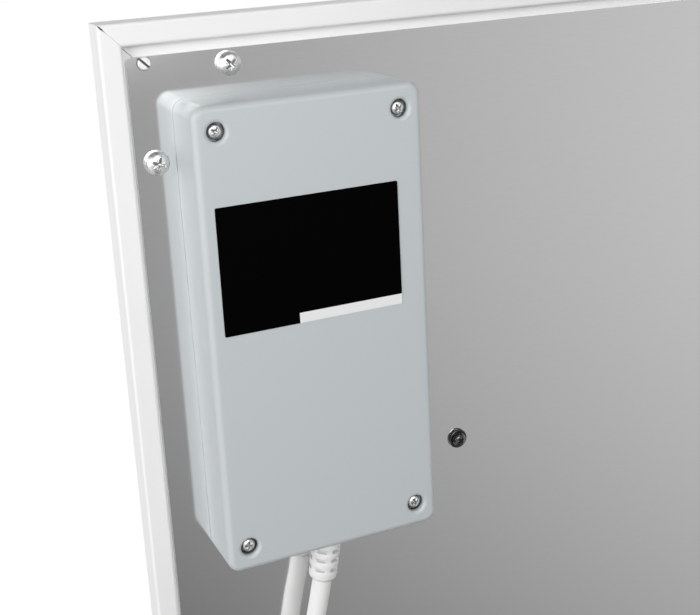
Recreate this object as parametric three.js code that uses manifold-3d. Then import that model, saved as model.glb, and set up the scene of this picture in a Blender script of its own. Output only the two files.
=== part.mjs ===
// Infrared panel heater with its junction box and mains lead, in millimetres, +Z up.
// The heated face looks along +Y and the mounting side along -Y. Y = 0 is the mounting side of
// the back plate, and the origin lies on it, midway between the four mounting screws.
import * as THREE from "three";
import { mergeVertices } from "three/addons/utils/BufferGeometryUtils.js";
import Module from "manifold-3d";

const wasm = await Module();
wasm.setup();

// ---------------------------------------------------------------- driving sizes

const PANEL_WIDTH = 755;
const PANEL_HEIGHT = 605;
const REST_GAP = 0.2; // between pieces that lie on each other
const SCREW_GAP = 0.3; // radial, between a screw and its hole

// Frame extrusion: u runs inwards from the outer edge, v along +Y.
const RIM_RISE = 3.2; // the rim stands this far behind the back plate
const RIM_WIDTH = 7.0;
const FRAME_WALL = 1.4;
const LIP_REACH = 20;
const FRONT_LIP_REACH = 4.5;
const RIM_OUTER_RADIUS = 0.9;
const RIM_INNER_RADIUS = 1.0;
const LIP_FILLET = 0.8;
const FRONT_RADIUS = 0.8;
const MITRE_GAP = 0.3;

// Sheets between the lips.
const BACK_PLATE_THICKNESS = 0.8;
const PLATE_FROM_SIDE = 8.3;
const PLATE_FROM_TOP = 10.6;
const PLATE_CORNER_RADIUS = 1.5;
const FRONT_PANEL_THICKNESS = 1.2;
const HEATING_BOARD_THICKNESS = 1.0;
const CORE_CLEARANCE = 1.0; // around the heating board and the blanket, inside the lips

// Corner keys and their screws.
const KEY_LEG_LENGTH = 58;
const KEY_LEG_WIDTH = 12;
const KEY_FROM_EDGE = 7.4;
const KEY_THICKNESS = 1.8;
const KEY_SCREW_ALONG_TOP = 39.6;
const KEY_SCREW_ACROSS_TOP = 15.2;
const KEY_SCREW_ALONG_SIDE = 42.8;
const KEY_SCREW_ACROSS_SIDE = 14.7;
const KEY_SCREW_RADIUS = 2.0;
const KEY_SCREW_HEAD_RADIUS = 4.0;
const KEY_SCREW_HEAD_HEIGHT = 2.7;
const SET_SCREW_FROM_SIDE = 13.6;
const SET_SCREW_FROM_TOP = 12.6;
const SET_SCREW_RADIUS = 2.0;
const SET_SCREW_PROUD = 1.1;
const SET_SCREW_SLOT = 0.8;

// Mounting screws and the rails behind the plate that they thread into.
const MOUNT_FROM_SIDE = 113.9;
const MOUNT_FROM_TOP = 156.4;
const MOUNT_SCREW_RADIUS = 1.9;
const MOUNT_HEAD_RADIUS = 3.5;
const MOUNT_HEAD_HEIGHT = 2.9;
const MOUNT_SCREW_REACH = 2.6;
const RAIL_WIDTH = 18;
const RAIL_OVERHANG = 24; // past each screw
const RAIL_THICKNESS = 1.8;
const RAIL_CLEARANCE = 0.5;

// Junction box.
const BOX_FROM_LEFT = 20.9;
const BOX_FROM_TOP = 24.3;
const BOX_WIDTH = 74;
const BOX_HEIGHT = 150.4;
const BOX_DEPTH = 19.2;
const BOX_CORNER_RADIUS = 4.1;
const BOX_EDGE_RADIUS = 2.0;
const COVER_WALL = 2.0;
const COVER_SCREW_FROM_SIDE = 7.3;
const COVER_SCREW_FROM_END = 7.9;
const COVER_SCREW_RADIUS = 1.45;
const COVER_SCREW_HEAD_RADIUS = 2.55;
const COVER_SCREW_HEAD_HEIGHT = 1.9;
const RECESS_RADIUS = 2.95;
const RECESS_DEPTH = 3.4;
const RECESS_DISH_RADIUS = 4.2;
const RECESS_DISH_DEPTH = 0.45;
const BOSS_RADIUS = 4.4;
const BOSS_FLOOR = 1.6;
const BASE_THICKNESS = 2.2;
const BASE_CLEARANCE = 0.4;
const POST_RADIUS = 3.4;
const TONGUE_DROP = 2; // from the cord's axis down to the ends of the tongue's horns
const LABEL_WIDTH = 59.8;
const LABEL_HEIGHT = 40.4;
const LABEL_FROM_LEFT = 4.7; // from the box's own edges
const LABEL_FROM_TOP = 30.3;
const LABEL_THICKNESS = 0.25;
const LABEL_GLUE = 0.02;

// What the box holds, measured from the box's centre.
const TERMINAL_WIDTH = 33;
const TERMINAL_LENGTH = 20;
const TERMINAL_HEIGHT = 11;
const TERMINAL_UP = -4;
const POLE_PITCH = 10;
const WIRE_BORE_RADIUS = 1.5;
const CLAMP_WELL_RADIUS = 2.1;
const WIRE_RADIUS = 1.0;
const WIRE_HEIGHT = 5.5; // of the wires over the plate where they enter the terminals
const CUTOUT_RADIUS = 7.5;
const CUTOUT_HEIGHT = 7.5;
const CUTOUT_LEFT = 14;
const CUTOUT_UP = 40;
const GROMMET_RIGHT = 14;
const GROMMET_UP = 42;
const GROMMET_BORE = 3.4;
const GROMMET_WAIST = 4.8;
const GROMMET_FLANGE = 6.6;
const GROMMET_FLANGE_THICKNESS = 1.2;
const EARTH_SCREW_RIGHT = 22;
const EARTH_SCREW_UP = -40;
const BASE_SCREW_UP = 62;
const SMALL_SCREW_RADIUS = 1.5;
const SMALL_HEAD_RADIUS = 2.8;
const SMALL_HEAD_HEIGHT = 2.0;
const CABLE_CLAMP_UP = -56;
const CABLE_CLAMP_WIDTH = 9;
const CABLE_CLAMP_WALL = 1.5;
const CABLE_CLAMP_EAR = 9;

// Mains lead. It hangs from the strain relief, and its spare length is a tied hank.
const CORD_DIAMETER = 6.6;
const CORD_HEIGHT = 9.8; // of the cord's axis over the plate where it leaves the box
const CORD_LEAN = 0.165; // sideways run to the left for each millimetre of drop
const RELIEF_LENGTH = 14.4; // of the ribbed tail
const RELIEF_INSIDE = 3.0;
const RELIEF_FLANGE_RADIUS = 6.4;
const RELIEF_FLANGE_THICKNESS = 1.1;
const RELIEF_NECK_RADIUS = 4.1;
const RELIEF_TOP_RADIUS = 5.1;
const RELIEF_BOTTOM_RADIUS = 4.7;
const RELIEF_GROOVE_RADIUS = 4.0;
const RELIEF_GROOVE = 0.8;
const RELIEF_ROUNDING = 1.2;
const RELIEF_RIBS = 4;
const JACKET_INSIDE = 24;
const HANK_RUN = 110;
const HANK_FOLD_RADIUS = 20;
const HANK_STEP = 7.65; // from loop to loop; the sloping runs take more than the cord's diameter
const HANK_LAYER = 7.1;
const HANK_TURNS = 4.25; // in along one layer and out along the other
const HANK_WAIST = 16; // how far each run is drawn in at its middle
const HANK_DROP = 94; // from the strain relief's end to the middle of the hank's first fold
const HANK_NEAR_LAYER = 6.6; // height of the layer next to the plate
const TIE_WIDTH = 8;
const TIE_WALL = 1.2;
const PLUG_HEIGHT_OVER_PLATE = 21;
const PLUG_DROP = 55; // from the hank's end to the plug's sleeve
const PLUG_RADIUS = 18.6;
const PLUG_FACE_DEPTH = 15;
const PLUG_GRIP_LENGTH = 13;
const PLUG_SLEEVE_LENGTH = 24;
const PLUG_FLAT = 16.2; // half the width over the plug's flats
const PIN_RADIUS = 2.4;
const PIN_LENGTH = 19;
const PIN_SPACING = 19;
const PIN_ROOT = 6;

// Roundness: how many sides and steps the curved shapes get.
const HOLE_SIDES = 16;
const SCREW_SIDES = 16;
const CORNER_STEPS = 5;
const EDGE_STEPS = 3;
const CORD_SIDES = 10;
const LOOP_SIDES = 6;
const RUN_STEPS = 6;
const FOLD_STEPS = 6;

// ---------------------------------------------------------------- worked-out places

const LEFT_EDGE = -PANEL_WIDTH / 2;
const TOP_EDGE = PANEL_HEIGHT / 2;
const LIP_TOP = BACK_PLATE_THICKNESS + REST_GAP; // the lip's mounting side, under the back plate
const LIP_UNDER = LIP_TOP + FRAME_WALL;
const KEY_REAR = LIP_UNDER + REST_GAP;
const PANEL_REAR = KEY_REAR + KEY_THICKNESS + REST_GAP;
const FRONT = PANEL_REAR + FRONT_PANEL_THICKNESS + REST_GAP + FRAME_WALL;
const BOARD_REAR = PANEL_REAR - REST_GAP - HEATING_BOARD_THICKNESS;
const CORE_INSET = LIP_REACH + CORE_CLEARANCE;
const BOX_X = LEFT_EDGE + BOX_FROM_LEFT + BOX_WIDTH / 2;
const BOX_Z = TOP_EDGE - BOX_FROM_TOP - BOX_HEIGHT / 2;
const BASE_TOP = BASE_THICKNESS + REST_GAP; // height of the base's upper side over the plate
const BOSS_END = BOX_DEPTH - RECESS_DEPTH - BOSS_FLOOR; // height of the cover bosses' ends
const CORD_RADIUS = CORD_DIAMETER / 2;
const SLOT_RADIUS = RELIEF_NECK_RADIUS + 2 * SCREW_GAP; // half the width of the cover's slot
const RELIEF_TOP = new THREE.Vector3(BOX_X, -CORD_HEIGHT, BOX_Z - BOX_HEIGHT / 2);
const CORD_DIRECTION = new THREE.Vector3(-CORD_LEAN, 0, -1).normalize();

// ---------------------------------------------------------------- materials

const finish = (color, roughness, metalness) =>
  new THREE.MeshStandardMaterial({ color, roughness, metalness });
const WHITE_PAINT = finish(0xf1f1ef, 0.45, 0);
const PLATE_METAL = finish(0xa6a6a5, 0.35, 0.9);
const SCREW_METAL = finish(0xd2d2d0, 0.2, 1);
const BLACK_METAL = finish(0x17171a, 0.3, 0.6);
const BOX_PLASTIC = finish(0xbfc5c8, 0.4, 0);
const BASE_PLASTIC = finish(0xd9d9d6, 0.5, 0);
const LABEL_FILM = finish(0x0b0b0c, 0.5, 0);
const CORD_JACKET = finish(0xeeeeec, 0.5, 0);
const CARBON_FILM = finish(0x2b2b2e, 0.7, 0);
const MINERAL_FELT = finish(0xe3dfd2, 0.95, 0);
const KEY_STEEL = finish(0x9a9c9e, 0.4, 0.9);
const TERMINAL_PLASTIC = finish(0xf3f1e6, 0.6, 0);
const BROWN_WIRE = finish(0x6b4426, 0.5, 0);
const BLUE_WIRE = finish(0x2a5db0, 0.5, 0);
const EARTH_WIRE = finish(0x9bb62a, 0.5, 0);
const GREY_RUBBER = finish(0x4a4a4c, 0.8, 0);
const PIN_METAL = finish(0xcfcac0, 0.25, 1);
const TIE_PLASTIC = finish(0x1c1c1e, 0.6, 0);

// ---------------------------------------------------------------- shape helpers

// Merges the vertices of a closed surface and turns its faces outwards.
function closed(geometry) {
  geometry.deleteAttribute("normal");
  geometry.deleteAttribute("uv");
  const merged = mergeVertices(geometry, 1e-4);
  const place = merged.getAttribute("position");
  const index = merged.index.array;
  const [a, b, c] = [new THREE.Vector3(), new THREE.Vector3(), new THREE.Vector3()];
  let volume = 0;
  for (let i = 0; i < index.length; i += 3) {
    a.fromBufferAttribute(place, index[i]);
    b.fromBufferAttribute(place, index[i + 1]);
    c.fromBufferAttribute(place, index[i + 2]);
    volume += a.dot(b.cross(c));
  }
  if (volume < 0) index.reverse();
  return merged;
}

function solidOf(geometry) {
  return new wasm.Manifold(
    new wasm.Mesh({
      numProp: 3,
      vertProperties: geometry.getAttribute("position").array,
      triVerts: new Uint32Array(geometry.index.array),
    }),
  );
}

function geometryOf(solid) {
  const mesh = solid.getMesh();
  return new THREE.BufferGeometry()
    .setAttribute("position", new THREE.BufferAttribute(mesh.vertProperties, 3))
    .setIndex(new THREE.BufferAttribute(mesh.triVerts, 1));
}

const cut = (body, tools) =>
  geometryOf(tools.reduce((rest, tool) => rest.subtract(solidOf(tool)), solidOf(body)));
const join = (body, extras) =>
  geometryOf(extras.reduce((sum, extra) => sum.add(solidOf(extra)), solidOf(body)));

// A closed outline with right-angled corners [x, y, radius], each rounded by an arc.
function rounded(corners, steps = CORNER_STEPS) {
  const at = corners.map(([x, y]) => new THREE.Vector2(x, y));
  return corners.flatMap(([, , radius], i) => {
    const corner = at[i];
    if (!radius) return [corner];
    const back = at[(i + at.length - 1) % at.length].clone().sub(corner).normalize();
    const on = at[(i + 1) % at.length].clone().sub(corner).normalize();
    return Array.from({ length: steps + 1 }, (_, k) => {
      const turn = (k / steps) * (Math.PI / 2);
      return corner
        .clone()
        .addScaledVector(back, radius * (1 - Math.sin(turn)))
        .addScaledVector(on, radius * (1 - Math.cos(turn)));
    });
  });
}

const rectangle = (x, z, width, height, radius = 0, steps = CORNER_STEPS) =>
  rounded(
    [
      [x - width / 2, z - height / 2, radius],
      [x + width / 2, z - height / 2, radius],
      [x + width / 2, z + height / 2, radius],
      [x - width / 2, z + height / 2, radius],
    ],
    steps,
  );

const circle = (x, z, radius, sides = HOLE_SIDES) =>
  Array.from({ length: sides }, (_, i) => {
    const turn = (i / sides) * 2 * Math.PI;
    return new THREE.Vector2(x + radius * Math.cos(turn), z + radius * Math.sin(turn));
  });

// A flat piece: an outline in X and Z, from y0 to y1, with holes cut through it.
function slab(outline, y0, y1, holes = []) {
  const plain = (loop, low, high) =>
    closed(
      new THREE.ExtrudeGeometry(new THREE.Shape(loop), { depth: high - low, bevelEnabled: false })
        .rotateX(Math.PI / 2)
        .translate(0, high, 0),
    );
  const sheet = plain(outline, y0, y1);
  return holes.length
    ? cut(
        sheet,
        holes.map((loop) => plain(loop, y0 - 1, y1 + 1)),
      )
    : sheet;
}

const block = (x0, x1, y0, y1, z0, z1) =>
  closed(
    new THREE.BoxGeometry(x1 - x0, y1 - y0, z1 - z0).translate(
      (x0 + x1) / 2,
      (y0 + y1) / 2,
      (z0 + z1) / 2,
    ),
  );

// A turned piece round the Y axis from a profile of [radius, y], moved to (x, y, z).
const turned = (profile, sides, x = 0, y = 0, z = 0) =>
  closed(
    new THREE.LatheGeometry(
      profile.map(([radius, along]) => new THREE.Vector2(radius, along)),
      sides,
    ).translate(x, y, z),
  );

const rod = (radius, y0, y1, x, z, sides = HOLE_SIDES) =>
  turned([[0, y0], [radius, y0], [radius, y1], [0, y1]], sides, x, 0, z);

// A turned piece whose axis runs along -Z: the profile's second number is the depth under z = 0.
const hanging = (profile, sides) =>
  closed(
    new THREE.LatheGeometry(
      profile.map(([radius, down]) => new THREE.Vector2(radius, down)),
      sides,
    ).rotateX(-Math.PI / 2),
  );

// A bar along X with mitred ends. Its outline is in (u, v): u runs inwards, towards -Z.
function mitredBar(outline, chamber, length) {
  const loops = [outline, chamber];
  const flat = loops.flat();
  const count = flat.length;
  const trim = MITRE_GAP / Math.SQRT2;
  const places = [];
  for (const end of [-1, 1])
    for (const { x: u, y: v } of flat) places.push(end * (length / 2 - u - trim), v, -u);
  const faces = [];
  let first = 0;
  for (const loop of loops) {
    loop.forEach((_, i) => {
      const a = first + i;
      const b = first + ((i + 1) % loop.length);
      faces.push(a, b, b + count, a, b + count, a + count);
    });
    first += loop.length;
  }
  for (const [a, b, c] of THREE.ShapeUtils.triangulateShape(outline, [chamber])) {
    faces.push(a, c, b, a + count, b + count, c + count);
  }
  const geometry = new THREE.BufferGeometry();
  geometry.setAttribute("position", new THREE.Float32BufferAttribute(places, 3));
  return closed(geometry.setIndex(faces));
}

// A closed skin over rings of equal counts, with flat ends.
function loft(rings) {
  const count = rings[0].length;
  const faces = [];
  for (let k = 0; k + 1 < rings.length; k++)
    for (let i = 0; i < count; i++) {
      const [a, b] = [k * count + i, k * count + ((i + 1) % count)];
      faces.push(a, b, b + count, a, b + count, a + count);
    }
  const last = (rings.length - 1) * count;
  for (let i = 1; i + 1 < count; i++) {
    faces.push(0, i + 1, i, last, last + i, last + i + 1);
  }
  const places = rings.flat().flatMap((p) => [p.x, p.y, p.z]);
  const geometry = new THREE.BufferGeometry();
  geometry.setAttribute("position", new THREE.Float32BufferAttribute(places, 3));
  return closed(geometry.setIndex(faces));
}

// A round tube along a list of points, its section kept square to the path.
function tube(points, radius, sides) {
  const side = new THREE.Vector3();
  let normal = new THREE.Vector3(0, 1, 0);
  const rings = points.map((point, k) => {
    const before = points[Math.max(k - 1, 0)];
    const after = points[Math.min(k + 1, points.length - 1)];
    const along = after.clone().sub(before).normalize();
    normal = normal.clone().addScaledVector(along, -normal.dot(along)).normalize();
    side.crossVectors(along, normal);
    return Array.from({ length: sides }, (_, i) => {
      const turn = (i / sides) * 2 * Math.PI;
      return point
        .clone()
        .addScaledVector(normal, radius * Math.cos(turn))
        .addScaledVector(side, radius * Math.sin(turn));
    });
  });
  return loft(rings);
}

// A tube swept along a smooth curve through hand-chosen points.
function swept(points, radius, sides, steps) {
  const curve = new THREE.CatmullRomCurve3(points, false, "centripetal");
  const section = new THREE.Shape(circle(0, 0, radius, sides));
  return closed(new THREE.ExtrudeGeometry(section, { steps, extrudePath: curve }));
}

const wire = (points, steps = 14) =>
  swept(points.map(([x, height, z]) => new THREE.Vector3(x, -height, z)), WIRE_RADIUS, 6, steps);

// ---------------------------------------------------------------- screws

// A pan head over y = 0 towards -Y, with its shank towards +Y.
function panScrew(headRadius, headHeight, shankRadius, shankLength, sides = SCREW_SIDES) {
  return turned(
    [
      [0, shankLength],
      [shankRadius * 0.7, shankLength],
      [shankRadius, shankLength - shankRadius * 0.3],
      [shankRadius, 0],
      [headRadius, 0],
      [headRadius, -headHeight * 0.35],
      [headRadius * 0.86, -headHeight * 0.8],
      [headRadius * 0.5, -headHeight],
      [0, -headHeight],
    ],
    sides,
  );
}

// The cross recess of a head, as two crossing blades that are cut from it.
function crossRecess(headRadius, headHeight) {
  const long = headRadius * 0.52;
  const wide = headRadius * 0.11;
  const floor = -headHeight * 0.4;
  const over = -headHeight - 1;
  return [
    block(-long, long, over, floor, -wide, wide),
    block(-wide, wide, over, floor, -long, long),
  ];
}

const crossScrew = (headRadius, headHeight, shankRadius, shankLength) =>
  cut(
    panScrew(headRadius, headHeight, shankRadius, shankLength),
    crossRecess(headRadius, headHeight),
  );

// The set screw of a corner key: a round head with a screwdriver slot along X.
function setScrew(reach) {
  const body = turned(
    [
      [0, reach],
      [SET_SCREW_RADIUS - 0.5, reach],
      [SET_SCREW_RADIUS, reach - 0.5],
      [SET_SCREW_RADIUS, -SET_SCREW_PROUD * 0.55],
      [SET_SCREW_RADIUS * 0.78, -SET_SCREW_PROUD],
      [0, -SET_SCREW_PROUD],
    ],
    SCREW_SIDES,
  );
  const half = SET_SCREW_SLOT / 2;
  const long = SET_SCREW_RADIUS + 1;
  return cut(body, [block(-long, long, -SET_SCREW_PROUD - 1, -0.2, -half, half)]);
}

// ---------------------------------------------------------------- the heater

const heater = new THREE.Group();

function add(name, geometry, material, x = 0, y = 0, z = 0, turnY = 0) {
  const mesh = new THREE.Mesh(geometry, material);
  mesh.name = name;
  mesh.position.set(x, y, z);
  mesh.rotation.y = turnY;
  heater.add(mesh);
  return mesh;
}

const CORNERS = [
  { name: "top_left", side: -1, up: 1 },
  { name: "top_right", side: 1, up: 1 },
  { name: "bottom_left", side: -1, up: -1 },
  { name: "bottom_right", side: 1, up: -1 },
];
const fromSide = (side, distance) => side * (PANEL_WIDTH / 2 - distance);
const fromTop = (up, distance) => up * (PANEL_HEIGHT / 2 - distance);

// ---- frame: four mitred bars of one extrusion

const frameOutline = rounded(
  [
    [0, -RIM_RISE, RIM_OUTER_RADIUS],
    [RIM_WIDTH, -RIM_RISE, RIM_INNER_RADIUS],
    [RIM_WIDTH, LIP_TOP, LIP_FILLET],
    [LIP_REACH, LIP_TOP, 0],
    [LIP_REACH, LIP_UNDER, 0],
    [FRAME_WALL, LIP_UNDER, 0],
    [FRAME_WALL, FRONT - FRAME_WALL, 0],
    [FRONT_LIP_REACH, FRONT - FRAME_WALL, 0],
    [FRONT_LIP_REACH, FRONT, 0],
    [0, FRONT, FRONT_RADIUS],
  ],
  EDGE_STEPS,
);
const frameChamber = [
  [FRAME_WALL, FRAME_WALL - RIM_RISE],
  [FRAME_WALL, LIP_TOP],
  [RIM_WIDTH - FRAME_WALL, LIP_TOP],
  [RIM_WIDTH - FRAME_WALL, FRAME_WALL - RIM_RISE],
].map(([u, v]) => new THREE.Vector2(u, v));

// One bar with its screw holes: across is measured from its outer edge, along from its end.
function frameBar(length, screwAlong, screwAcross, setAlong, setAcross) {
  const holes = [-1, 1].flatMap((end) => [
    rod(
      KEY_SCREW_RADIUS + SCREW_GAP,
      LIP_TOP - 1,
      LIP_UNDER + 1,
      end * (length / 2 - screwAlong),
      -screwAcross,
    ),
    rod(
      SET_SCREW_RADIUS + SCREW_GAP,
      LIP_TOP - 1,
      LIP_UNDER + 1,
      end * (length / 2 - setAlong),
      -setAcross,
    ),
  ]);
  return cut(mitredBar(frameOutline, frameChamber, length), holes);
}

const levelBar = frameBar(
  PANEL_WIDTH,
  KEY_SCREW_ALONG_TOP,
  KEY_SCREW_ACROSS_TOP,
  SET_SCREW_FROM_SIDE,
  SET_SCREW_FROM_TOP,
);
const uprightBar = frameBar(
  PANEL_HEIGHT,
  KEY_SCREW_ALONG_SIDE,
  KEY_SCREW_ACROSS_SIDE,
  SET_SCREW_FROM_TOP,
  SET_SCREW_FROM_SIDE,
);
add("frame_top", levelBar, WHITE_PAINT, 0, 0, TOP_EDGE, 0);
add("frame_bottom", levelBar, WHITE_PAINT, 0, 0, -TOP_EDGE, Math.PI);
add("frame_left", uprightBar, WHITE_PAINT, LEFT_EDGE, 0, 0, -Math.PI / 2);
add("frame_right", uprightBar, WHITE_PAINT, -LEFT_EDGE, 0, 0, Math.PI / 2);

// ---- sheets

const keyScrewPlaces = CORNERS.flatMap(({ name, side, up }) => [
  {
    name: name + "_level",
    x: fromSide(side, KEY_SCREW_ALONG_TOP),
    z: fromTop(up, KEY_SCREW_ACROSS_TOP),
  },
  {
    name: name + "_upright",
    x: fromSide(side, KEY_SCREW_ACROSS_SIDE),
    z: fromTop(up, KEY_SCREW_ALONG_SIDE),
  },
]);
const setScrewPlaces = CORNERS.map(({ name, side, up }) => ({
  name,
  turn: side * up * (Math.PI / 4),
  x: fromSide(side, SET_SCREW_FROM_SIDE),
  z: fromTop(up, SET_SCREW_FROM_TOP),
}));
const mountPlaces = CORNERS.map(({ name, side, up }) => ({
  name,
  x: fromSide(side, MOUNT_FROM_SIDE),
  z: fromTop(up, MOUNT_FROM_TOP),
}));
const grommetPlace = { x: BOX_X + GROMMET_RIGHT, z: BOX_Z + GROMMET_UP };
const earthPlace = { x: BOX_X + EARTH_SCREW_RIGHT, z: BOX_Z + EARTH_SCREW_UP };
const basePlace = { x: BOX_X, z: BOX_Z + BASE_SCREW_UP };
const clampPlace = {
  x: BOX_X + CORD_RADIUS + CABLE_CLAMP_WALL + CABLE_CLAMP_EAR / 2,
  z: BOX_Z + CABLE_CLAMP_UP,
};
const smallScrewPlaces = [earthPlace, basePlace];
const hole = ({ x, z }, radius) => circle(x, z, radius + SCREW_GAP);

// The set screws lie so near the plate's corners that their holes open into its edges.
function backPlate() {
  const sheet = slab(
    rectangle(
      0,
      0,
      PANEL_WIDTH - 2 * PLATE_FROM_SIDE,
      PANEL_HEIGHT - 2 * PLATE_FROM_TOP,
      PLATE_CORNER_RADIUS,
      EDGE_STEPS,
    ),
    0,
    BACK_PLATE_THICKNESS,
    [
      ...keyScrewPlaces.map((place) => hole(place, KEY_SCREW_RADIUS)),
      ...mountPlaces.map((place) => hole(place, MOUNT_SCREW_RADIUS)),
      ...smallScrewPlaces.map((place) => hole(place, SMALL_SCREW_RADIUS)),
      hole(grommetPlace, GROMMET_WAIST),
    ],
  );
  const notches = setScrewPlaces.map(({ x, z }) =>
    rod(SET_SCREW_RADIUS + SCREW_GAP, -1, BACK_PLATE_THICKNESS + 1, x, z),
  );
  return cut(sheet, notches);
}
add("back_plate", backPlate(), PLATE_METAL);
add(
  "front_panel",
  slab(
    rectangle(
      0,
      0,
      PANEL_WIDTH - 2 * (FRAME_WALL + REST_GAP),
      PANEL_HEIGHT - 2 * (FRAME_WALL + REST_GAP),
    ),
    PANEL_REAR,
    PANEL_REAR + FRONT_PANEL_THICKNESS,
  ),
  WHITE_PAINT,
);
const coreOutline = rectangle(0, 0, PANEL_WIDTH - 2 * CORE_INSET, PANEL_HEIGHT - 2 * CORE_INSET);
add(
  "heating_board",
  slab(coreOutline, BOARD_REAR, BOARD_REAR + HEATING_BOARD_THICKNESS),
  CARBON_FILM,
);

const railLength = 2 * (TOP_EDGE - MOUNT_FROM_TOP + RAIL_OVERHANG);
const railX = (side) => fromSide(side, MOUNT_FROM_SIDE);
add(
  "insulation_blanket",
  slab(coreOutline, LIP_TOP, BOARD_REAR - REST_GAP, [
    ...[-1, 1].map((side) =>
      rectangle(
        railX(side),
        0,
        RAIL_WIDTH + 2 * RAIL_CLEARANCE,
        railLength + 2 * RAIL_CLEARANCE,
      ),
    ),
    ...smallScrewPlaces.map((place) => hole(place, SMALL_SCREW_RADIUS)),
    hole(grommetPlace, GROMMET_FLANGE),
  ]),
  MINERAL_FELT,
);

// ---- corner keys under the lips, with their screws

for (const { name, side, up } of CORNERS) {
  const near = KEY_FROM_EDGE;
  const far = KEY_FROM_EDGE + KEY_LEG_WIDTH;
  const end = KEY_FROM_EDGE + KEY_LEG_LENGTH;
  const outline = [
    [near, near],
    [end, near],
    [end, far],
    [far, far],
    [far, end],
    [near, end],
  ].map(([across, down]) => new THREE.Vector2(fromSide(side, across), fromTop(up, down)));
  const bores = [
    hole({ x: fromSide(side, SET_SCREW_FROM_SIDE), z: fromTop(up, SET_SCREW_FROM_TOP) }, SET_SCREW_RADIUS),
    hole({ x: fromSide(side, KEY_SCREW_ALONG_TOP), z: fromTop(up, KEY_SCREW_ACROSS_TOP) }, KEY_SCREW_RADIUS),
    hole({ x: fromSide(side, KEY_SCREW_ACROSS_SIDE), z: fromTop(up, KEY_SCREW_ALONG_SIDE) }, KEY_SCREW_RADIUS),
  ];
  add("corner_key_" + name, slab(outline, KEY_REAR, KEY_REAR + KEY_THICKNESS, bores), KEY_STEEL);
}

const KEY_SCREW_REACH = KEY_REAR + KEY_THICKNESS;
const keyScrew = crossScrew(
  KEY_SCREW_HEAD_RADIUS,
  KEY_SCREW_HEAD_HEIGHT,
  KEY_SCREW_RADIUS,
  KEY_SCREW_REACH + REST_GAP,
);
for (const { name, x, z } of keyScrewPlaces) {
  add("plate_screw_" + name, keyScrew, SCREW_METAL, x, -REST_GAP, z);
}
const cornerSetScrew = setScrew(KEY_SCREW_REACH);
for (const { name, x, z, turn } of setScrewPlaces) {
  add("corner_set_screw_" + name, cornerSetScrew, SCREW_METAL, x, 0, z, -turn);
}

// ---- mounting screws and rails

for (const [name, side] of [["left", -1], ["right", 1]]) {
  add(
    "mount_rail_" + name,
    slab(
      rectangle(railX(side), 0, RAIL_WIDTH, railLength),
      LIP_TOP,
      LIP_TOP + RAIL_THICKNESS,
      [1, -1].map((up) =>
        hole({ x: railX(side), z: fromTop(up, MOUNT_FROM_TOP) }, MOUNT_SCREW_RADIUS),
      ),
    ),
    KEY_STEEL,
  );
}
const mountScrew = crossScrew(
  MOUNT_HEAD_RADIUS,
  MOUNT_HEAD_HEIGHT,
  MOUNT_SCREW_RADIUS,
  MOUNT_SCREW_REACH + REST_GAP,
);
for (const { name, x, z } of mountPlaces) {
  add("mounting_screw_" + name, mountScrew, BLACK_METAL, x, -REST_GAP, z);
}

// ---- junction box: base, cover, screws and label

const coverScrewPlaces = CORNERS.map(({ name, side, up }) => ({
  name,
  x: BOX_X + side * (BOX_WIDTH / 2 - COVER_SCREW_FROM_SIDE),
  z: BOX_Z + up * (BOX_HEIGHT / 2 - COVER_SCREW_FROM_END),
}));
const boxRing = (inset, height) =>
  rectangle(
    BOX_X,
    BOX_Z,
    BOX_WIDTH - 2 * inset,
    BOX_HEIGHT - 2 * inset,
    BOX_CORNER_RADIUS - inset,
  ).map(({ x, y: z }) => new THREE.Vector3(x, -height, z));

function boxCover() {
  const straight = BOX_DEPTH - BOX_EDGE_RADIUS;
  const edge = Array.from({ length: EDGE_STEPS }, (_, k) => {
    const turn = ((k + 1) / EDGE_STEPS) * (Math.PI / 2);
    return boxRing(
      BOX_EDGE_RADIUS * (1 - Math.cos(turn)),
      straight + BOX_EDGE_RADIUS * Math.sin(turn),
    );
  });
  const outside = loft([boxRing(0, REST_GAP), boxRing(0, straight), ...edge]);
  const inside = loft([boxRing(COVER_WALL, -1), boxRing(COVER_WALL, BOX_DEPTH - COVER_WALL)]);
  const shell = cut(outside, [inside]);
  const bosses = coverScrewPlaces.map(({ x, z }) =>
    rod(BOSS_RADIUS, -BOX_DEPTH + COVER_WALL / 2, -BOSS_END, x, z),
  );
  const wells = coverScrewPlaces.map(({ x, z }) =>
    turned(
      [
        [0, -BOX_DEPTH - 1],
        [RECESS_DISH_RADIUS, -BOX_DEPTH - 1],
        [RECESS_DISH_RADIUS, -BOX_DEPTH],
        [RECESS_RADIUS, RECESS_DISH_DEPTH - BOX_DEPTH],
        [RECESS_RADIUS, RECESS_DEPTH - BOX_DEPTH],
        [COVER_SCREW_RADIUS + SCREW_GAP, RECESS_DEPTH - BOX_DEPTH],
        [COVER_SCREW_RADIUS + SCREW_GAP, 1 - BOSS_END],
        [0, 1 - BOSS_END],
      ],
      HOLE_SIDES,
      x,
      0,
      z,
    ),
  );
  return cut(join(shell, bosses), [...wells, slotFor(SLOT_RADIUS)]);
}

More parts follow.
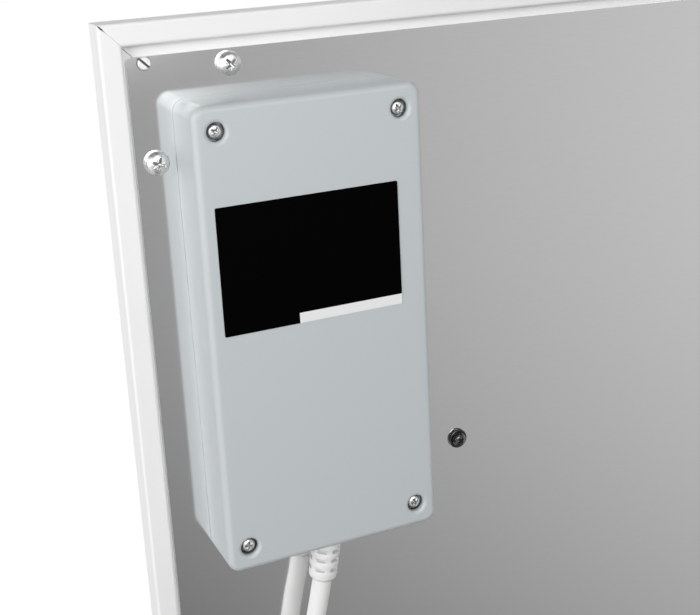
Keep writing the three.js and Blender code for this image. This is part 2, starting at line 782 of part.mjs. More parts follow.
// The slot in the cover's lower wall: a round seat for the neck, open towards the plate.
function slotFor(radius) {
  const low = RELIEF_TOP.z - 1;
  const high = RELIEF_TOP.z + COVER_WALL + 1;
  const arc = Array.from({ length: HOLE_SIDES / 2 + 1 }, (_, i) => {
    const turn = (i / (HOLE_SIDES / 2)) * Math.PI;
    return new THREE.Vector2(
      RELIEF_TOP.x + radius * Math.cos(turn),
      CORD_HEIGHT + radius * Math.sin(turn),
    );
  });
  const outline = [
    new THREE.Vector2(RELIEF_TOP.x - radius, -1),
    new THREE.Vector2(RELIEF_TOP.x + radius, -1),
    ...arc,
  ];
  const lower = outline.map(({ x, y }) => new THREE.Vector3(x, -y, low));
  const upper = outline.map(({ x, y }) => new THREE.Vector3(x, -y, high));
  return loft([lower, upper]);
}
add("box_cover", boxCover(), BOX_PLASTIC);

// The tongue of the base: it fills the cover's slot from the plate up to the neck.
function slotTongue() {
  const half = SLOT_RADIUS - REST_GAP;
  const low = RELIEF_TOP.z + REST_GAP;
  const wall = RELIEF_TOP.z + COVER_WALL;
  const edge = wall + BASE_CLEARANCE + 1;
  const [left, right] = [RELIEF_TOP.x - half, RELIEF_TOP.x + half];
  const upright = block(left, right, TONGUE_DROP - CORD_HEIGHT, -REST_GAP, low, wall);
  const root = block(left, right, -BASE_TOP, -REST_GAP, low, edge);
  const reach = COVER_WALL + 2;
  const seat = hanging(
    [
      [0, -reach],
      [RELIEF_NECK_RADIUS + SCREW_GAP, -reach],
      [RELIEF_NECK_RADIUS + SCREW_GAP, 1],
      [0, 1],
    ],
    HOLE_SIDES,
  ).translate(RELIEF_TOP.x, RELIEF_TOP.y, RELIEF_TOP.z);
  return cut(join(upright, [root]), [seat]);
}

const BASE_WIDTH = BOX_WIDTH - 2 * (COVER_WALL + BASE_CLEARANCE);
const BASE_HEIGHT = BOX_HEIGHT - 2 * (COVER_WALL + BASE_CLEARANCE);
function boxBase() {
  const plate = slab(
    rectangle(
      BOX_X,
      BOX_Z,
      BASE_WIDTH,
      BASE_HEIGHT,
      BOX_CORNER_RADIUS - COVER_WALL - BASE_CLEARANCE,
    ),
    -BASE_TOP,
    -REST_GAP,
    [
      ...smallScrewPlaces.map((place) => hole(place, SMALL_SCREW_RADIUS)),
      hole(grommetPlace, GROMMET_WAIST),
    ],
  );
  const posts = coverScrewPlaces.map(({ x, z }) =>
    rod(POST_RADIUS, REST_GAP - BOSS_END, -BASE_TOP / 2, x, z, 12),
  );
  const clampPost = rod(
    SMALL_HEAD_RADIUS,
    REST_GAP - CORD_HEIGHT + CABLE_CLAMP_WALL / 2,
    -BASE_TOP / 2,
    clampPlace.x,
    clampPlace.z,
    12,
  );
  const bores = [
    ...coverScrewPlaces.map(({ x, z }) =>
      rod(COVER_SCREW_RADIUS + SCREW_GAP, -BOSS_END - 1, -BASE_TOP / 2, x, z, 12),
    ),
    rod(
      SMALL_SCREW_RADIUS + SCREW_GAP,
      -CORD_HEIGHT,
      -BASE_TOP / 2,
      clampPlace.x,
      clampPlace.z,
      12,
    ),
  ];
  return cut(join(plate, [...posts, clampPost, slotTongue()]), bores);
}
add("box_base", boxBase(), BASE_PLASTIC);

const coverScrew = crossScrew(
  COVER_SCREW_HEAD_RADIUS,
  COVER_SCREW_HEAD_HEIGHT,
  COVER_SCREW_RADIUS,
  BOSS_FLOOR + REST_GAP + 7,
);
for (const { name, x, z } of coverScrewPlaces) {
  add("cover_screw_" + name, coverScrew, SCREW_METAL, x, RECESS_DEPTH - REST_GAP - BOX_DEPTH, z);
}
add(
  "cover_label",
  slab(
    rectangle(
      BOX_X - BOX_WIDTH / 2 + LABEL_FROM_LEFT + LABEL_WIDTH / 2,
      BOX_Z + BOX_HEIGHT / 2 - LABEL_FROM_TOP - LABEL_HEIGHT / 2,
      LABEL_WIDTH,
      LABEL_HEIGHT,
    ),
    -BOX_DEPTH - LABEL_THICKNESS - LABEL_GLUE,
    -BOX_DEPTH - LABEL_GLUE,
  ),
  LABEL_FILM,
);

// ---- inside the box: terminals, cut-out, grommet, clamp and wires

function terminalBlock() {
  const z = BOX_Z + TERMINAL_UP;
  const low = -BASE_TOP - REST_GAP - TERMINAL_HEIGHT;
  const body = block(
    BOX_X - TERMINAL_WIDTH / 2,
    BOX_X + TERMINAL_WIDTH / 2,
    low,
    -BASE_TOP - REST_GAP,
    z - TERMINAL_LENGTH / 2,
    z + TERMINAL_LENGTH / 2,
  );
  const tools = [-1, 0, 1].flatMap((pole) => {
    const x = BOX_X + pole * POLE_PITCH;
    const bore = hanging(
      [
        [0, 0],
        [WIRE_BORE_RADIUS, 0],
        [WIRE_BORE_RADIUS, TERMINAL_LENGTH + 2],
        [0, TERMINAL_LENGTH + 2],
      ],
      8,
    ).translate(x, -WIRE_HEIGHT, z + TERMINAL_LENGTH / 2 + 1);
    const wells = [-1, 1].map((end) =>
      rod(CLAMP_WELL_RADIUS, low - 1, low + 2.5, x, z + end * TERMINAL_LENGTH * 0.27, 10),
    );
    return [bore, ...wells];
  });
  return cut(body, tools);
}
add("terminal_block", terminalBlock(), TERMINAL_PLASTIC);

const cutoutPlace = { x: BOX_X - CUTOUT_LEFT, z: BOX_Z + CUTOUT_UP };
const CUTOUT_TOP = BASE_TOP + REST_GAP + CUTOUT_HEIGHT;
add(
  "thermal_cutout",
  turned(
    [
      [0, -BASE_TOP - REST_GAP],
      [CUTOUT_RADIUS + 1, -BASE_TOP - REST_GAP],
      [CUTOUT_RADIUS + 1, -BASE_TOP - REST_GAP - 1.2],
      [CUTOUT_RADIUS, -BASE_TOP - REST_GAP - 1.2],
      [CUTOUT_RADIUS, -CUTOUT_TOP + 1],
      [CUTOUT_RADIUS - 1, -CUTOUT_TOP],
      [0, -CUTOUT_TOP],
    ],
    SCREW_SIDES,
    cutoutPlace.x,
    0,
    cutoutPlace.z,
  ),
  CARBON_FILM,
);

const GROMMET_LOW = BACK_PLATE_THICKNESS + REST_GAP;
add(
  "lead_grommet",
  turned(
    [
      [GROMMET_BORE, GROMMET_LOW + GROMMET_FLANGE_THICKNESS],
      [GROMMET_FLANGE, GROMMET_LOW + GROMMET_FLANGE_THICKNESS],
      [GROMMET_FLANGE, GROMMET_LOW],
      [GROMMET_WAIST, GROMMET_LOW],
      [GROMMET_WAIST, -BASE_TOP - REST_GAP],
      [GROMMET_FLANGE, -BASE_TOP - REST_GAP],
      [GROMMET_FLANGE, -BASE_TOP - REST_GAP - GROMMET_FLANGE_THICKNESS],
      [GROMMET_BORE, -BASE_TOP - REST_GAP - GROMMET_FLANGE_THICKNESS],
      [GROMMET_BORE, GROMMET_LOW + GROMMET_FLANGE_THICKNESS],
    ],
    HOLE_SIDES,
    grommetPlace.x,
    0,
    grommetPlace.z,
  ),
  GREY_RUBBER,
);

const smallScrew = panScrew(
  SMALL_HEAD_RADIUS,
  SMALL_HEAD_HEIGHT,
  SMALL_SCREW_RADIUS,
  BASE_TOP + BACK_PLATE_THICKNESS + 1.6,
  12,
);
add("earth_screw", smallScrew, PIN_METAL, earthPlace.x, -BASE_TOP - REST_GAP, earthPlace.z);
add("base_screw", smallScrew, SCREW_METAL, basePlace.x, -BASE_TOP - REST_GAP, basePlace.z);

// The clamp: an arch over the cord's jacket with one ear, screwed to its post.
function cableClamp() {
  const inner = CORD_RADIUS + REST_GAP;
  const outer = inner + CABLE_CLAMP_WALL;
  const half = CABLE_CLAMP_WALL / 2;
  const steps = 10;
  const arc = (radius, from, to) =>
    Array.from({ length: steps + 1 }, (_, i) => {
      const turn = from + ((to - from) * i) / steps;
      return new THREE.Vector2(radius * Math.cos(turn), radius * Math.sin(turn));
    });
  const low = Math.asin(half / outer);
  const outline = [
    ...arc(outer, low, Math.PI),
    ...arc(inner, Math.PI, -Math.asin(half / inner)),
    new THREE.Vector2(outer + CABLE_CLAMP_EAR, -half),
    new THREE.Vector2(outer + CABLE_CLAMP_EAR, half),
  ];
  const ring = (z) =>
    outline.map(({ x, y }) => new THREE.Vector3(BOX_X + x, -CORD_HEIGHT - y, clampPlace.z + z));
  const shape = new THREE.Shape(outline);
  const arch = closed(
    new THREE.ExtrudeGeometry(shape, { depth: CABLE_CLAMP_WIDTH, bevelEnabled: false })
      .scale(1, -1, 1)
      .translate(BOX_X, -CORD_HEIGHT, ring(-CABLE_CLAMP_WIDTH / 2)[0].z),
  );
  return cut(arch, [
    rod(
      SMALL_SCREW_RADIUS + SCREW_GAP,
      -CORD_HEIGHT - 2,
      -CORD_HEIGHT + 2,
      clampPlace.x,
      clampPlace.z,
      12,
    ),
  ]);
}
add("cable_clamp", cableClamp(), TERMINAL_PLASTIC);
add(
  "clamp_screw",
  panScrew(SMALL_HEAD_RADIUS, SMALL_HEAD_HEIGHT, SMALL_SCREW_RADIUS, 6, 12),
  SCREW_METAL,
  clampPlace.x,
  -CORD_HEIGHT - CABLE_CLAMP_WALL / 2 - REST_GAP,
  clampPlace.z,
);

const JACKET_LOW = RELIEF_TOP.z + COVER_WALL + RELIEF_INSIDE + SCREW_GAP;
const JACKET_HIGH = JACKET_LOW + JACKET_INSIDE;
add(
  "cord_jacket_end",
  swept(
    [JACKET_LOW, JACKET_HIGH].map((z) => new THREE.Vector3(BOX_X, -CORD_HEIGHT, z)),
    CORD_RADIUS,
    CORD_SIDES,
    2,
  ),
  CORD_JACKET,
);

const TERMINAL_LOW = BOX_Z + TERMINAL_UP - TERMINAL_LENGTH / 2;
const TERMINAL_HIGH = BOX_Z + TERMINAL_UP + TERMINAL_LENGTH / 2;
const WIRE_SEAT = 3; // how far a wire's end reaches into its terminal
const cordWires = [
  ["live", -1, BROWN_WIRE],
  ["neutral", 0, BLUE_WIRE],
  ["earth", 1, EARTH_WIRE],
];
for (const [name, pole, material] of cordWires) {
  const x = BOX_X + pole * POLE_PITCH;
  const start = BOX_X + pole * (2 * WIRE_RADIUS + SCREW_GAP);
  const rise = (TERMINAL_LOW - JACKET_HIGH) / 4;
  add(
    "cord_wire_" + name,
    wire([
      [start, CORD_HEIGHT, JACKET_HIGH + SCREW_GAP],
      [start, CORD_HEIGHT, JACKET_HIGH + rise],
      [x, WIRE_HEIGHT, TERMINAL_LOW - rise],
      [x, WIRE_HEIGHT, TERMINAL_LOW + WIRE_SEAT],
    ]),
    material,
  );
}

const HEATER_WIRE_END = SCREW_GAP - BOARD_REAR; // just clear of the heating board
const cutoutFace = CUTOUT_TOP + SCREW_GAP;
add(
  "live_wire_to_cutout",
  wire([
    [BOX_X - POLE_PITCH, WIRE_HEIGHT, TERMINAL_HIGH - WIRE_SEAT],
    [BOX_X - POLE_PITCH, WIRE_HEIGHT, TERMINAL_HIGH + 5],
    [BOX_X - POLE_PITCH - 6, WIRE_HEIGHT + 3, cutoutPlace.z - CUTOUT_RADIUS - 7],
    [cutoutPlace.x - 3, cutoutFace + WIRE_RADIUS, cutoutPlace.z - CUTOUT_RADIUS],
    [cutoutPlace.x - 3, cutoutFace + WIRE_RADIUS, cutoutPlace.z + 2],
  ]),
  BROWN_WIRE,
);
add(
  "heater_wire_live",
  wire(
    [
      [cutoutPlace.x + 3, cutoutFace + WIRE_RADIUS, cutoutPlace.z + 2],
      [cutoutPlace.x + 9, cutoutFace + WIRE_RADIUS, cutoutPlace.z + 3],
      [grommetPlace.x - 7, 12.2, grommetPlace.z + 1.5],
      [grommetPlace.x - 1.6, 9, grommetPlace.z + 1.2],
      [grommetPlace.x - 1.4, 3.5, grommetPlace.z + 1.2],
      [grommetPlace.x - 1.4, HEATER_WIRE_END, grommetPlace.z + 1.2],
    ],
    20,
  ),
  BROWN_WIRE,
);
add(
  "heater_wire_neutral",
  wire(
    [
      [BOX_X, WIRE_HEIGHT, TERMINAL_HIGH - WIRE_SEAT],
      [BOX_X, WIRE_HEIGHT, TERMINAL_HIGH + 5],
      [BOX_X + 5, WIRE_HEIGHT + 2.5, TERMINAL_HIGH + 16],
      [grommetPlace.x + 0.6, 9, grommetPlace.z - 6],
      [grommetPlace.x + 1.2, 7, grommetPlace.z - 1.6],
      [grommetPlace.x + 1.2, 3.5, grommetPlace.z - 1.4],
      [grommetPlace.x + 1.2, HEATER_WIRE_END, grommetPlace.z - 1.4],
    ],
    20,
  ),
  BLUE_WIRE,
);
const EARTH_LUG_HEIGHT = BASE_TOP + REST_GAP + SMALL_HEAD_HEIGHT + SCREW_GAP + WIRE_RADIUS;
add(
  "earth_wire",
  wire(
    [
      [BOX_X + POLE_PITCH, WIRE_HEIGHT, TERMINAL_HIGH - WIRE_SEAT],
      [BOX_X + POLE_PITCH, WIRE_HEIGHT, TERMINAL_HIGH + 4],
      [BOX_X + POLE_PITCH + 6, WIRE_HEIGHT + 1, TERMINAL_HIGH + 9],
      [BOX_X + TERMINAL_WIDTH / 2 + 7, WIRE_HEIGHT, TERMINAL_HIGH],
      [BOX_X + TERMINAL_WIDTH / 2 + 8, WIRE_HEIGHT, TERMINAL_LOW],
      [earthPlace.x + 1, EARTH_LUG_HEIGHT + 0.4, earthPlace.z + 9],
      [earthPlace.x, EARTH_LUG_HEIGHT, earthPlace.z - 1],
    ],
    24,
  ),
  EARTH_WIRE,
);

// ---- strain relief: a neck in the cover's slot, and a ribbed tail that leans with the cord

const TAIL_TOP = RELIEF_TOP.clone().setZ(RELIEF_TOP.z - REST_GAP - RELIEF_FLANGE_THICKNESS);

function strainRelief() {
  const inside = -COVER_WALL - RELIEF_INSIDE;
  const neckIn = -COVER_WALL - REST_GAP;
  const neck = hanging(
    [
      [0, inside],
      [RELIEF_TOP_RADIUS, inside],
      [RELIEF_TOP_RADIUS, neckIn],
      [RELIEF_NECK_RADIUS, neckIn],
      [RELIEF_NECK_RADIUS, REST_GAP],
      [RELIEF_FLANGE_RADIUS, REST_GAP],
      [RELIEF_FLANGE_RADIUS, REST_GAP + RELIEF_FLANGE_THICKNESS],
      [0, REST_GAP + RELIEF_FLANGE_THICKNESS],
    ],
    SCREW_SIDES,
  ).translate(RELIEF_TOP.x, RELIEF_TOP.y, RELIEF_TOP.z);
  const root = -RELIEF_FLANGE_THICKNESS / 2;
  const tail = [
    [0, root],
    [RELIEF_GROOVE_RADIUS, root],
  ];
  const pitch = RELIEF_LENGTH / RELIEF_RIBS;
  for (let rib = 0; rib < RELIEF_RIBS; rib++) {
    const share = rib / (RELIEF_RIBS - 1);
    const radius = RELIEF_TOP_RADIUS + (RELIEF_BOTTOM_RADIUS - RELIEF_TOP_RADIUS) * share;
    const top = rib * pitch + RELIEF_GROOVE;
    const low = rib < RELIEF_RIBS - 1 ? (rib + 1) * pitch : RELIEF_LENGTH - RELIEF_ROUNDING;
    tail.push([RELIEF_GROOVE_RADIUS, top], [radius, top], [radius, low]);
    if (rib < RELIEF_RIBS - 1) tail.push([RELIEF_GROOVE_RADIUS, low]);
  }
  tail.push([CORD_RADIUS + SCREW_GAP, RELIEF_LENGTH], [0, RELIEF_LENGTH]);
  const leaning = hanging(tail, SCREW_SIDES)
    .rotateY(Math.atan(CORD_LEAN))
    .translate(TAIL_TOP.x, TAIL_TOP.y, TAIL_TOP.z);
  return join(neck, [leaning]);
}
add("strain_relief", strainRelief(), CORD_JACKET);

// ---- cord: a stretch to the hank, the hank, and a stretch to the plug

const RELIEF_END = TAIL_TOP.clone().addScaledVector(CORD_DIRECTION, RELIEF_LENGTH + SCREW_GAP);
const leadRoute = [
  [0, 0, 0],
  [-1.75, -0.1, -7.6],
  [-3.65, -0.2, -15.1],
  [-5.85, 0, -25.1],
  [-7.45, 0.6, -36.1],
  [-8.3, 1.6, -49.1],
  [-8.5, 2.6, -64.1],
  [-8.5, 3.12, -77.1],
  [-8.5, CORD_HEIGHT - HANK_NEAR_LAYER, -HANK_DROP + CORD_DIAMETER + SCREW_GAP],
].map(([x, y, z]) => new THREE.Vector3(x, y, z).add(RELIEF_END));
const leadEnd = leadRoute[leadRoute.length - 1];
add("cord_lead", swept(leadRoute, CORD_RADIUS, CORD_SIDES, 9), CORD_JACKET);

const HANK_OUTER = HANK_FOLD_RADIUS + (HANK_TURNS / 2) * HANK_STEP;
const HANK_X = leadEnd.x + HANK_OUTER;
const HANK_Z = RELIEF_END.z - HANK_DROP - HANK_RUN / 2;
const HANK_MIDDLE = HANK_TURNS / 2;

// A point of the hank after so many turns. Each turn is a run down the left, a fold, a run up the
// right and a fold, a quarter each. The loops spiral in along the near layer, climb in the middle
// of the left run where the spiral turns round, and spiral out along the far layer.
function hankPoint(turns) {
  const quarter = (turns % 1) * 4;
  const share = quarter % 1;
  const radius = HANK_FOLD_RADIUS + HANK_STEP * Math.abs(turns - HANK_MIDDLE);
  const climb = THREE.MathUtils.smoothstep(turns, HANK_MIDDLE - 0.125, HANK_MIDDLE + 0.125);
  const height = HANK_NEAR_LAYER + HANK_LAYER * climb;
  const drawnIn = (HANK_WAIST * (1 - Math.cos(2 * Math.PI * share))) / 2;
  const half = HANK_RUN / 2;
  const turn = Math.PI * share;
  const [x, z] = [
    () => [drawnIn - radius, half - HANK_RUN * share],
    () => [-radius * Math.cos(turn), -half - radius * Math.sin(turn)],
    () => [radius - drawnIn, HANK_RUN * share - half],
    () => [radius * Math.cos(turn), half + radius * Math.sin(turn)],
  ][Math.floor(quarter)]();
  return new THREE.Vector3(HANK_X + x, -height, HANK_Z + z);
}

function hankPoints(runSteps, foldSteps) {
  const points = [];
  const quarters = Math.round(HANK_TURNS * 4);
  for (let q = 0; q < quarters; q++) {
    const steps = q % 2 ? foldSteps : runSteps;
    for (let i = 0; i < steps; i++) points.push(hankPoint((q + i / steps) / 4));
  }
  const last = hankPoint((quarters - 1e-9) / 4);
  points.push(last);
  points.unshift(points[0].clone().setZ(points[0].z + CORD_DIAMETER));
  points.push(last.clone().setZ(last.z - CORD_DIAMETER));
  return points;
}
const hank = hankPoints(RUN_STEPS, FOLD_STEPS);
add("cord_hank", tube(hank, CORD_RADIUS, LOOP_SIDES), CORD_JACKET);
const hankEnd = hank[hank.length - 1];

// The least gap between stretches of the hank that are more than half a fold apart.
function leastGap() {
  const fine = hankPoints(RUN_STEPS * 4, FOLD_STEPS * 4);
  const walked = [0];
  for (let i = 1; i < fine.length; i++) {
    walked.push(walked[i - 1] + fine[i].distanceTo(fine[i - 1]));
  }
  let least = Infinity;
  for (let i = 0; i < fine.length; i++)
    for (let j = i + 1; j < fine.length; j++)
      if (walked[j] - walked[i] > 1.5 * HANK_FOLD_RADIUS) {
        least = Math.min(least, fine[i].distanceTo(fine[j]));
      }
  return { gap: least - CORD_DIAMETER, length: walked[walked.length - 1] };
}

// The tie: a band round the hank's waist.
const tieHalfWidth = HANK_OUTER - HANK_WAIST + CORD_RADIUS + SCREW_GAP;
const tieLow = HANK_NEAR_LAYER - CORD_RADIUS - SCREW_GAP;
const tieHigh = HANK_NEAR_LAYER + HANK_LAYER + CORD_RADIUS + SCREW_GAP;
function hankTie() {
  const middle = (tieLow + tieHigh) / 2;
  const ring = (grow) =>
    rectangle(
      HANK_X,
      -middle,
      2 * (tieHalfWidth + grow),
      tieHigh - tieLow + 2 * grow,
      CORD_RADIUS + grow,
      EDGE_STEPS,
    );
  const shape = new THREE.Shape(ring(TIE_WALL));
  shape.holes = [new THREE.Path(ring(0))];
  return closed(
    new THREE.ExtrudeGeometry(shape, { depth: TIE_WIDTH, bevelEnabled: false }).translate(
      0,
      0,
      HANK_Z - TIE_WIDTH / 2,
    ),
  );
}
add("hank_tie", hankTie(), TIE_PLASTIC);

const tailShift = hankEnd.y + PLUG_HEIGHT_OVER_PLATE;
const tailRoute = [
  [0, 0, -SCREW_GAP],
  [0, 0.02, -8],
  [0, 0.22, -17],
  [0, 0.5, -27],
  [0, 0.8, -37],
  [0, 0.98, -46],
  [0, 1, -PLUG_DROP],
].map(([x, share, z]) => new THREE.Vector3(x, -share * tailShift, z).add(hankEnd));
const tailEnd = tailRoute[tailRoute.length - 1];
add("cord_tail", swept(tailRoute, CORD_RADIUS, CORD_SIDES, 6), CORD_JACKET);

// ---- plug: sleeve, grip, round face with flats and earth grooves, and two pins

function plugBody() {
  const gripTop = PLUG_SLEEVE_LENGTH;
  const faceTop = gripTop + PLUG_GRIP_LENGTH;
  const face = faceTop + PLUG_FACE_DEPTH;
  const body = hanging(
    [
      [0, 0],
      [CORD_RADIUS + 0.9, 0],
      [CORD_RADIUS + 2.4, gripTop * 0.5],
      [CORD_RADIUS + 3.4, gripTop],
      [PLUG_RADIUS * 0.62, gripTop + 2],
      [PLUG_RADIUS * 0.72, gripTop + PLUG_GRIP_LENGTH * 0.6],
      [PLUG_RADIUS * 0.98, faceTop],
      [PLUG_RADIUS, faceTop + 1.5],
      [PLUG_RADIUS, face - 0.8],
      [PLUG_RADIUS - 0.8, face],
      [0, face],
    ],
    28,
  );
  const reach = PLUG_RADIUS + 2;
  const flats = [-1, 1].map((side) => {
    const [a, b] = [side * PLUG_FLAT, side * reach];
    return block(Math.min(a, b), Math.max(a, b), -reach, reach, -face - 1, -faceTop + 1);
  });
  const grooves = [-1, 1].map((side) => {
    const [a, b] = [side * (PLUG_RADIUS - 2.2), side * reach];
    return block(-3, 3, Math.min(a, b), Math.max(a, b), -face - 1, -faceTop - 3);
  });
  const bores = [-1, 1].map((side) =>
    hanging(
      [
        [0, face - PIN_ROOT],
        [PIN_RADIUS + REST_GAP, face - PIN_ROOT],
        [PIN_RADIUS + REST_GAP, face + 1],
        [0, face + 1],
      ],
      12,
    ).translate((side * PIN_SPACING) / 2, 0, 0),
  );
  return { geometry: cut(body, [...flats, ...grooves, ...bores]), face };
}
const plug = plugBody();
const plugTop = tailEnd.clone().setZ(tailEnd.z - SCREW_GAP);
add("plug_body", plug.geometry, CORD_JACKET, plugTop.x, plugTop.y, plugTop.z);
const pin = hanging(
  [
    [0, REST_GAP - PIN_ROOT],
    [PIN_RADIUS, REST_GAP - PIN_ROOT],
    [PIN_RADIUS, PIN_LENGTH - 1.5],
    [PIN_RADIUS - 0.9, PIN_LENGTH],
    [0, PIN_LENGTH],
  ],
  12,
);
for (const [name, side] of [["left", -1], ["right", 1]]) {
  add(
    "plug_pin_" + name,
    pin,
    PIN_METAL,
    plugTop.x + (side * PIN_SPACING) / 2,
    plugTop.y,
    plugTop.z - plug.face,
  );
}

const stretch = (points) => new THREE.CatmullRomCurve3(points, false, "centripetal").getLength();
const measured = leastGap();
const cordLength = stretch(leadRoute) + measured.length + stretch(tailRoute);
console.log("hank: least gap " + measured.gap.toFixed(2) + " mm to itself");
console.log("cord: " + cordLength.toFixed(0) + " mm from the strain relief to the plug");

export default heater;
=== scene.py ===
"""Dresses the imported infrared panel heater: frame, mirror-like plate, junction box, lead and plug.

Everything is in metres in the part's own frame: +X along the panel, +Z up, +Y out of the heated
face, and Y = 0 on the mounting side of the back plate, which the camera looks at.
"""

import bmesh
import bpy
import numpy as np
from mathutils import Matrix, Vector
from mathutils.geometry import tessellate_polygon


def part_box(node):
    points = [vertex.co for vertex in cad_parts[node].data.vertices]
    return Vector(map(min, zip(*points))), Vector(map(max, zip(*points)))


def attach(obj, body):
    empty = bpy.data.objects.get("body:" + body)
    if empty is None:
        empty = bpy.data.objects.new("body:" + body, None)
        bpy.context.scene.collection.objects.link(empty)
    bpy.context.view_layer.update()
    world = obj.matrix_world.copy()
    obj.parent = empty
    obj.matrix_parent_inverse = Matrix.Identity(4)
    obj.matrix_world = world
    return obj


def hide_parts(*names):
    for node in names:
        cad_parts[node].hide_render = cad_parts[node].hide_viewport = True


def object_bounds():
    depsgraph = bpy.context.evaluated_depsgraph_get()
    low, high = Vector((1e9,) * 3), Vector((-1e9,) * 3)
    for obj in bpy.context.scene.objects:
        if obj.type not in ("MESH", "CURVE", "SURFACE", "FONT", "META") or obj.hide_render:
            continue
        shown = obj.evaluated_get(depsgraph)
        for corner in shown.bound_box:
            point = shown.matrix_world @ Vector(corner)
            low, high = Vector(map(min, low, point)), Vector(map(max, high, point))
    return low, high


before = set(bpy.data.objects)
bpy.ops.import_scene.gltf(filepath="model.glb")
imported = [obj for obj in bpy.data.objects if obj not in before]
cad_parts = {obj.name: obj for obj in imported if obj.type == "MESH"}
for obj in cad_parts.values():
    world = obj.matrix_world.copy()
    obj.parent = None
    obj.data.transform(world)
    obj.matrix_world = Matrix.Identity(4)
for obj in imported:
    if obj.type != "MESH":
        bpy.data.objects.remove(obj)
CAD_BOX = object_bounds()
MM = 0.001
PI = np.pi

# ---------------------------------------------------------------- camera

CAMERA_PLACE = (-0.4578, -0.3650, 0.3377)
CAMERA_RIGHT = (0.91155, -0.40791, -0.05182)
CAMERA_UP = (0.15674, 0.22820, 0.96091)
CAMERA_BACK = (-0.38014, -0.88404, 0.27196)
LENS = 64.8
SHIFT_UP = -0.0964


def place_camera():
    """The photograph's viewpoint, worked out from the vanishing points of the panel's edges."""
    data = bpy.data.cameras.new("camera")
    data.lens = LENS
    data.sensor_width = 36
    data.shift_y = SHIFT_UP
    data.clip_start = 0.01
    camera = bpy.data.objects.new("camera", data)
    turn = Matrix((CAMERA_RIGHT, CAMERA_UP, CAMERA_BACK)).transposed()
    camera.matrix_world = Matrix.Translation(CAMERA_PLACE) @ turn.to_4x4()
    bpy.context.scene.collection.objects.link(camera)
    bpy.context.scene.camera = camera


place_camera()


# ---------------------------------------------------------------- surfaces


def quads(rows, columns, round_rows=False, round_columns=False):
    """The faces of a grid of points, row after row; a round direction joins its end to its start."""
    r = np.arange(rows if round_rows else rows - 1)[:, None]
    c = np.arange(columns if round_columns else columns - 1)[None, :]
    here, below = r * columns, (r + 1) % rows * columns
    right = (c + 1) % columns
    return np.stack([here + c, here + right, below + right, below + c], -1).reshape(-1, 4).tolist()


def grid(points, round_rows=False, round_columns=False):
    """A patch from an array of rows by columns by 3."""
    rows, columns = points.shape[:2]
    return points.reshape(-1, 3), quads(rows, columns, round_rows, round_columns)


def lid(ring):
    """A flat face that closes a ring of points."""
    return ring, [list(range(len(ring)))]


def pierced(outline, holes):
    """A flat patch between an outline and the rings of its holes, all on one plane across Y."""
    rings = [outline, *holes]
    flat = [[(p[0], p[2], 0) for p in ring] for ring in rings]
    return np.concatenate(rings), [list(face) for face in tessellate_polygon(flat)]


def rounded_ring(centre, size, radius, y, steps=10):
    """A rectangle across Y with round corners: at each corner an arc of so many steps."""
    half_width, half_height = size[0] / 2 - radius, size[1] / 2 - radius
    corner = np.array([(1, 1), (-1, 1), (-1, -1), (1, -1)])
    turn = np.linspace(0, PI / 2, steps + 1)[None, :] + np.arange(4)[:, None] * PI / 2
    x = centre[0] + corner[:, :1] * half_width + radius * np.cos(turn)
    z = centre[1] + corner[:, 1:] * half_height + radius * np.sin(turn)
    return np.stack([x, np.full_like(x, y), z], -1).reshape(-1, 3)


def circle_ring(centre, radius, y, sides):
    """A circle across Y: centre plus radius times (cos turn, sin turn) in X and Z."""
    turn = np.arange(sides) / sides * 2 * PI
    x = centre[0] + radius * np.cos(turn)
    return np.stack([x, np.full(sides, y), centre[1] + radius * np.sin(turn)], -1)


def turned(profile, centre, sides):
    """A profile of (radius, y) carried round an axis along Y through the centre (x, z)."""
    return np.stack([circle_ring(centre, radius, y, sides) for radius, y in profile])


def hung(profile, sides, top):
    """A profile of (radius, drop) carried round an upright axis that hangs from top: each point is
    (radius cos turn, -radius sin turn, -drop) from there."""
    radius, drop = np.array(profile).T
    turn = np.arange(sides) / sides * 2 * PI
    round_it = np.stack([np.cos(turn), -np.sin(turn), np.zeros(sides)], -1)
    fall = drop[:, None, None] * np.array([0, 0, -1])
    return np.array(top) + fall + radius[:, None, None] * round_it


def arc(centre, radius, start, end, steps):
    """Points of an arc in a flat profile, from one angle to another in degrees."""
    turn = np.radians(np.linspace(start, end, steps + 1))
    return np.stack([centre[0] + radius * np.cos(turn), centre[1] + radius * np.sin(turn)], -1)


def smooth_path(knots, spacing):
    """A Catmull-Rom curve through the knots, cut into even steps of about the given spacing."""
    ends = [2 * knots[0] - knots[1]], [2 * knots[-1] - knots[-2]]
    padded = np.concatenate([ends[0], knots, ends[1]])
    t = np.linspace(0, 1, 9)[:-1, None, None]
    a, b, c, d = (padded[i : len(padded) - 3 + i] for i in range(4))
    fine = 0.5 * (2 * b + (c - a) * t + (2 * a - 5 * b + 4 * c - d) * t**2)
    fine += 0.5 * (3 * b - a - 3 * c + d) * t**3
    fine = np.concatenate([fine.transpose(1, 0, 2).reshape(-1, 3), knots[-1:]])
    walked = np.concatenate([[0], np.cumsum(np.linalg.norm(np.diff(fine, axis=0), axis=1))])
    even = np.linspace(0, walked[-1], int(walked[-1] / spacing) + 2)
    return np.stack([np.interp(even, walked, fine[:, k]) for k in range(3)], -1)


def swept_round(path, radius, sides):
    """A round section carried along a path that never runs along Y, its first side towards -Y."""
    along = np.gradient(path, axis=0)
    along /= np.linalg.norm(along, axis=1, keepdims=True)
    front = np.array([0, -1, 0]) + along * along[:, 1:2]
    front /= np.linalg.norm(front, axis=1, keepdims=True)
    side = np.cross(along, front)
    turn = np.arange(sides) / sides * 2 * PI
    ring = np.cos(turn)[None, :, None] * front[:, None] + np.sin(turn)[None, :, None] * side[:, None]
    return path[:, None] + np.reshape(radius, (-1, 1, 1)) * ring


# ---------------------------------------------------------------- finishes


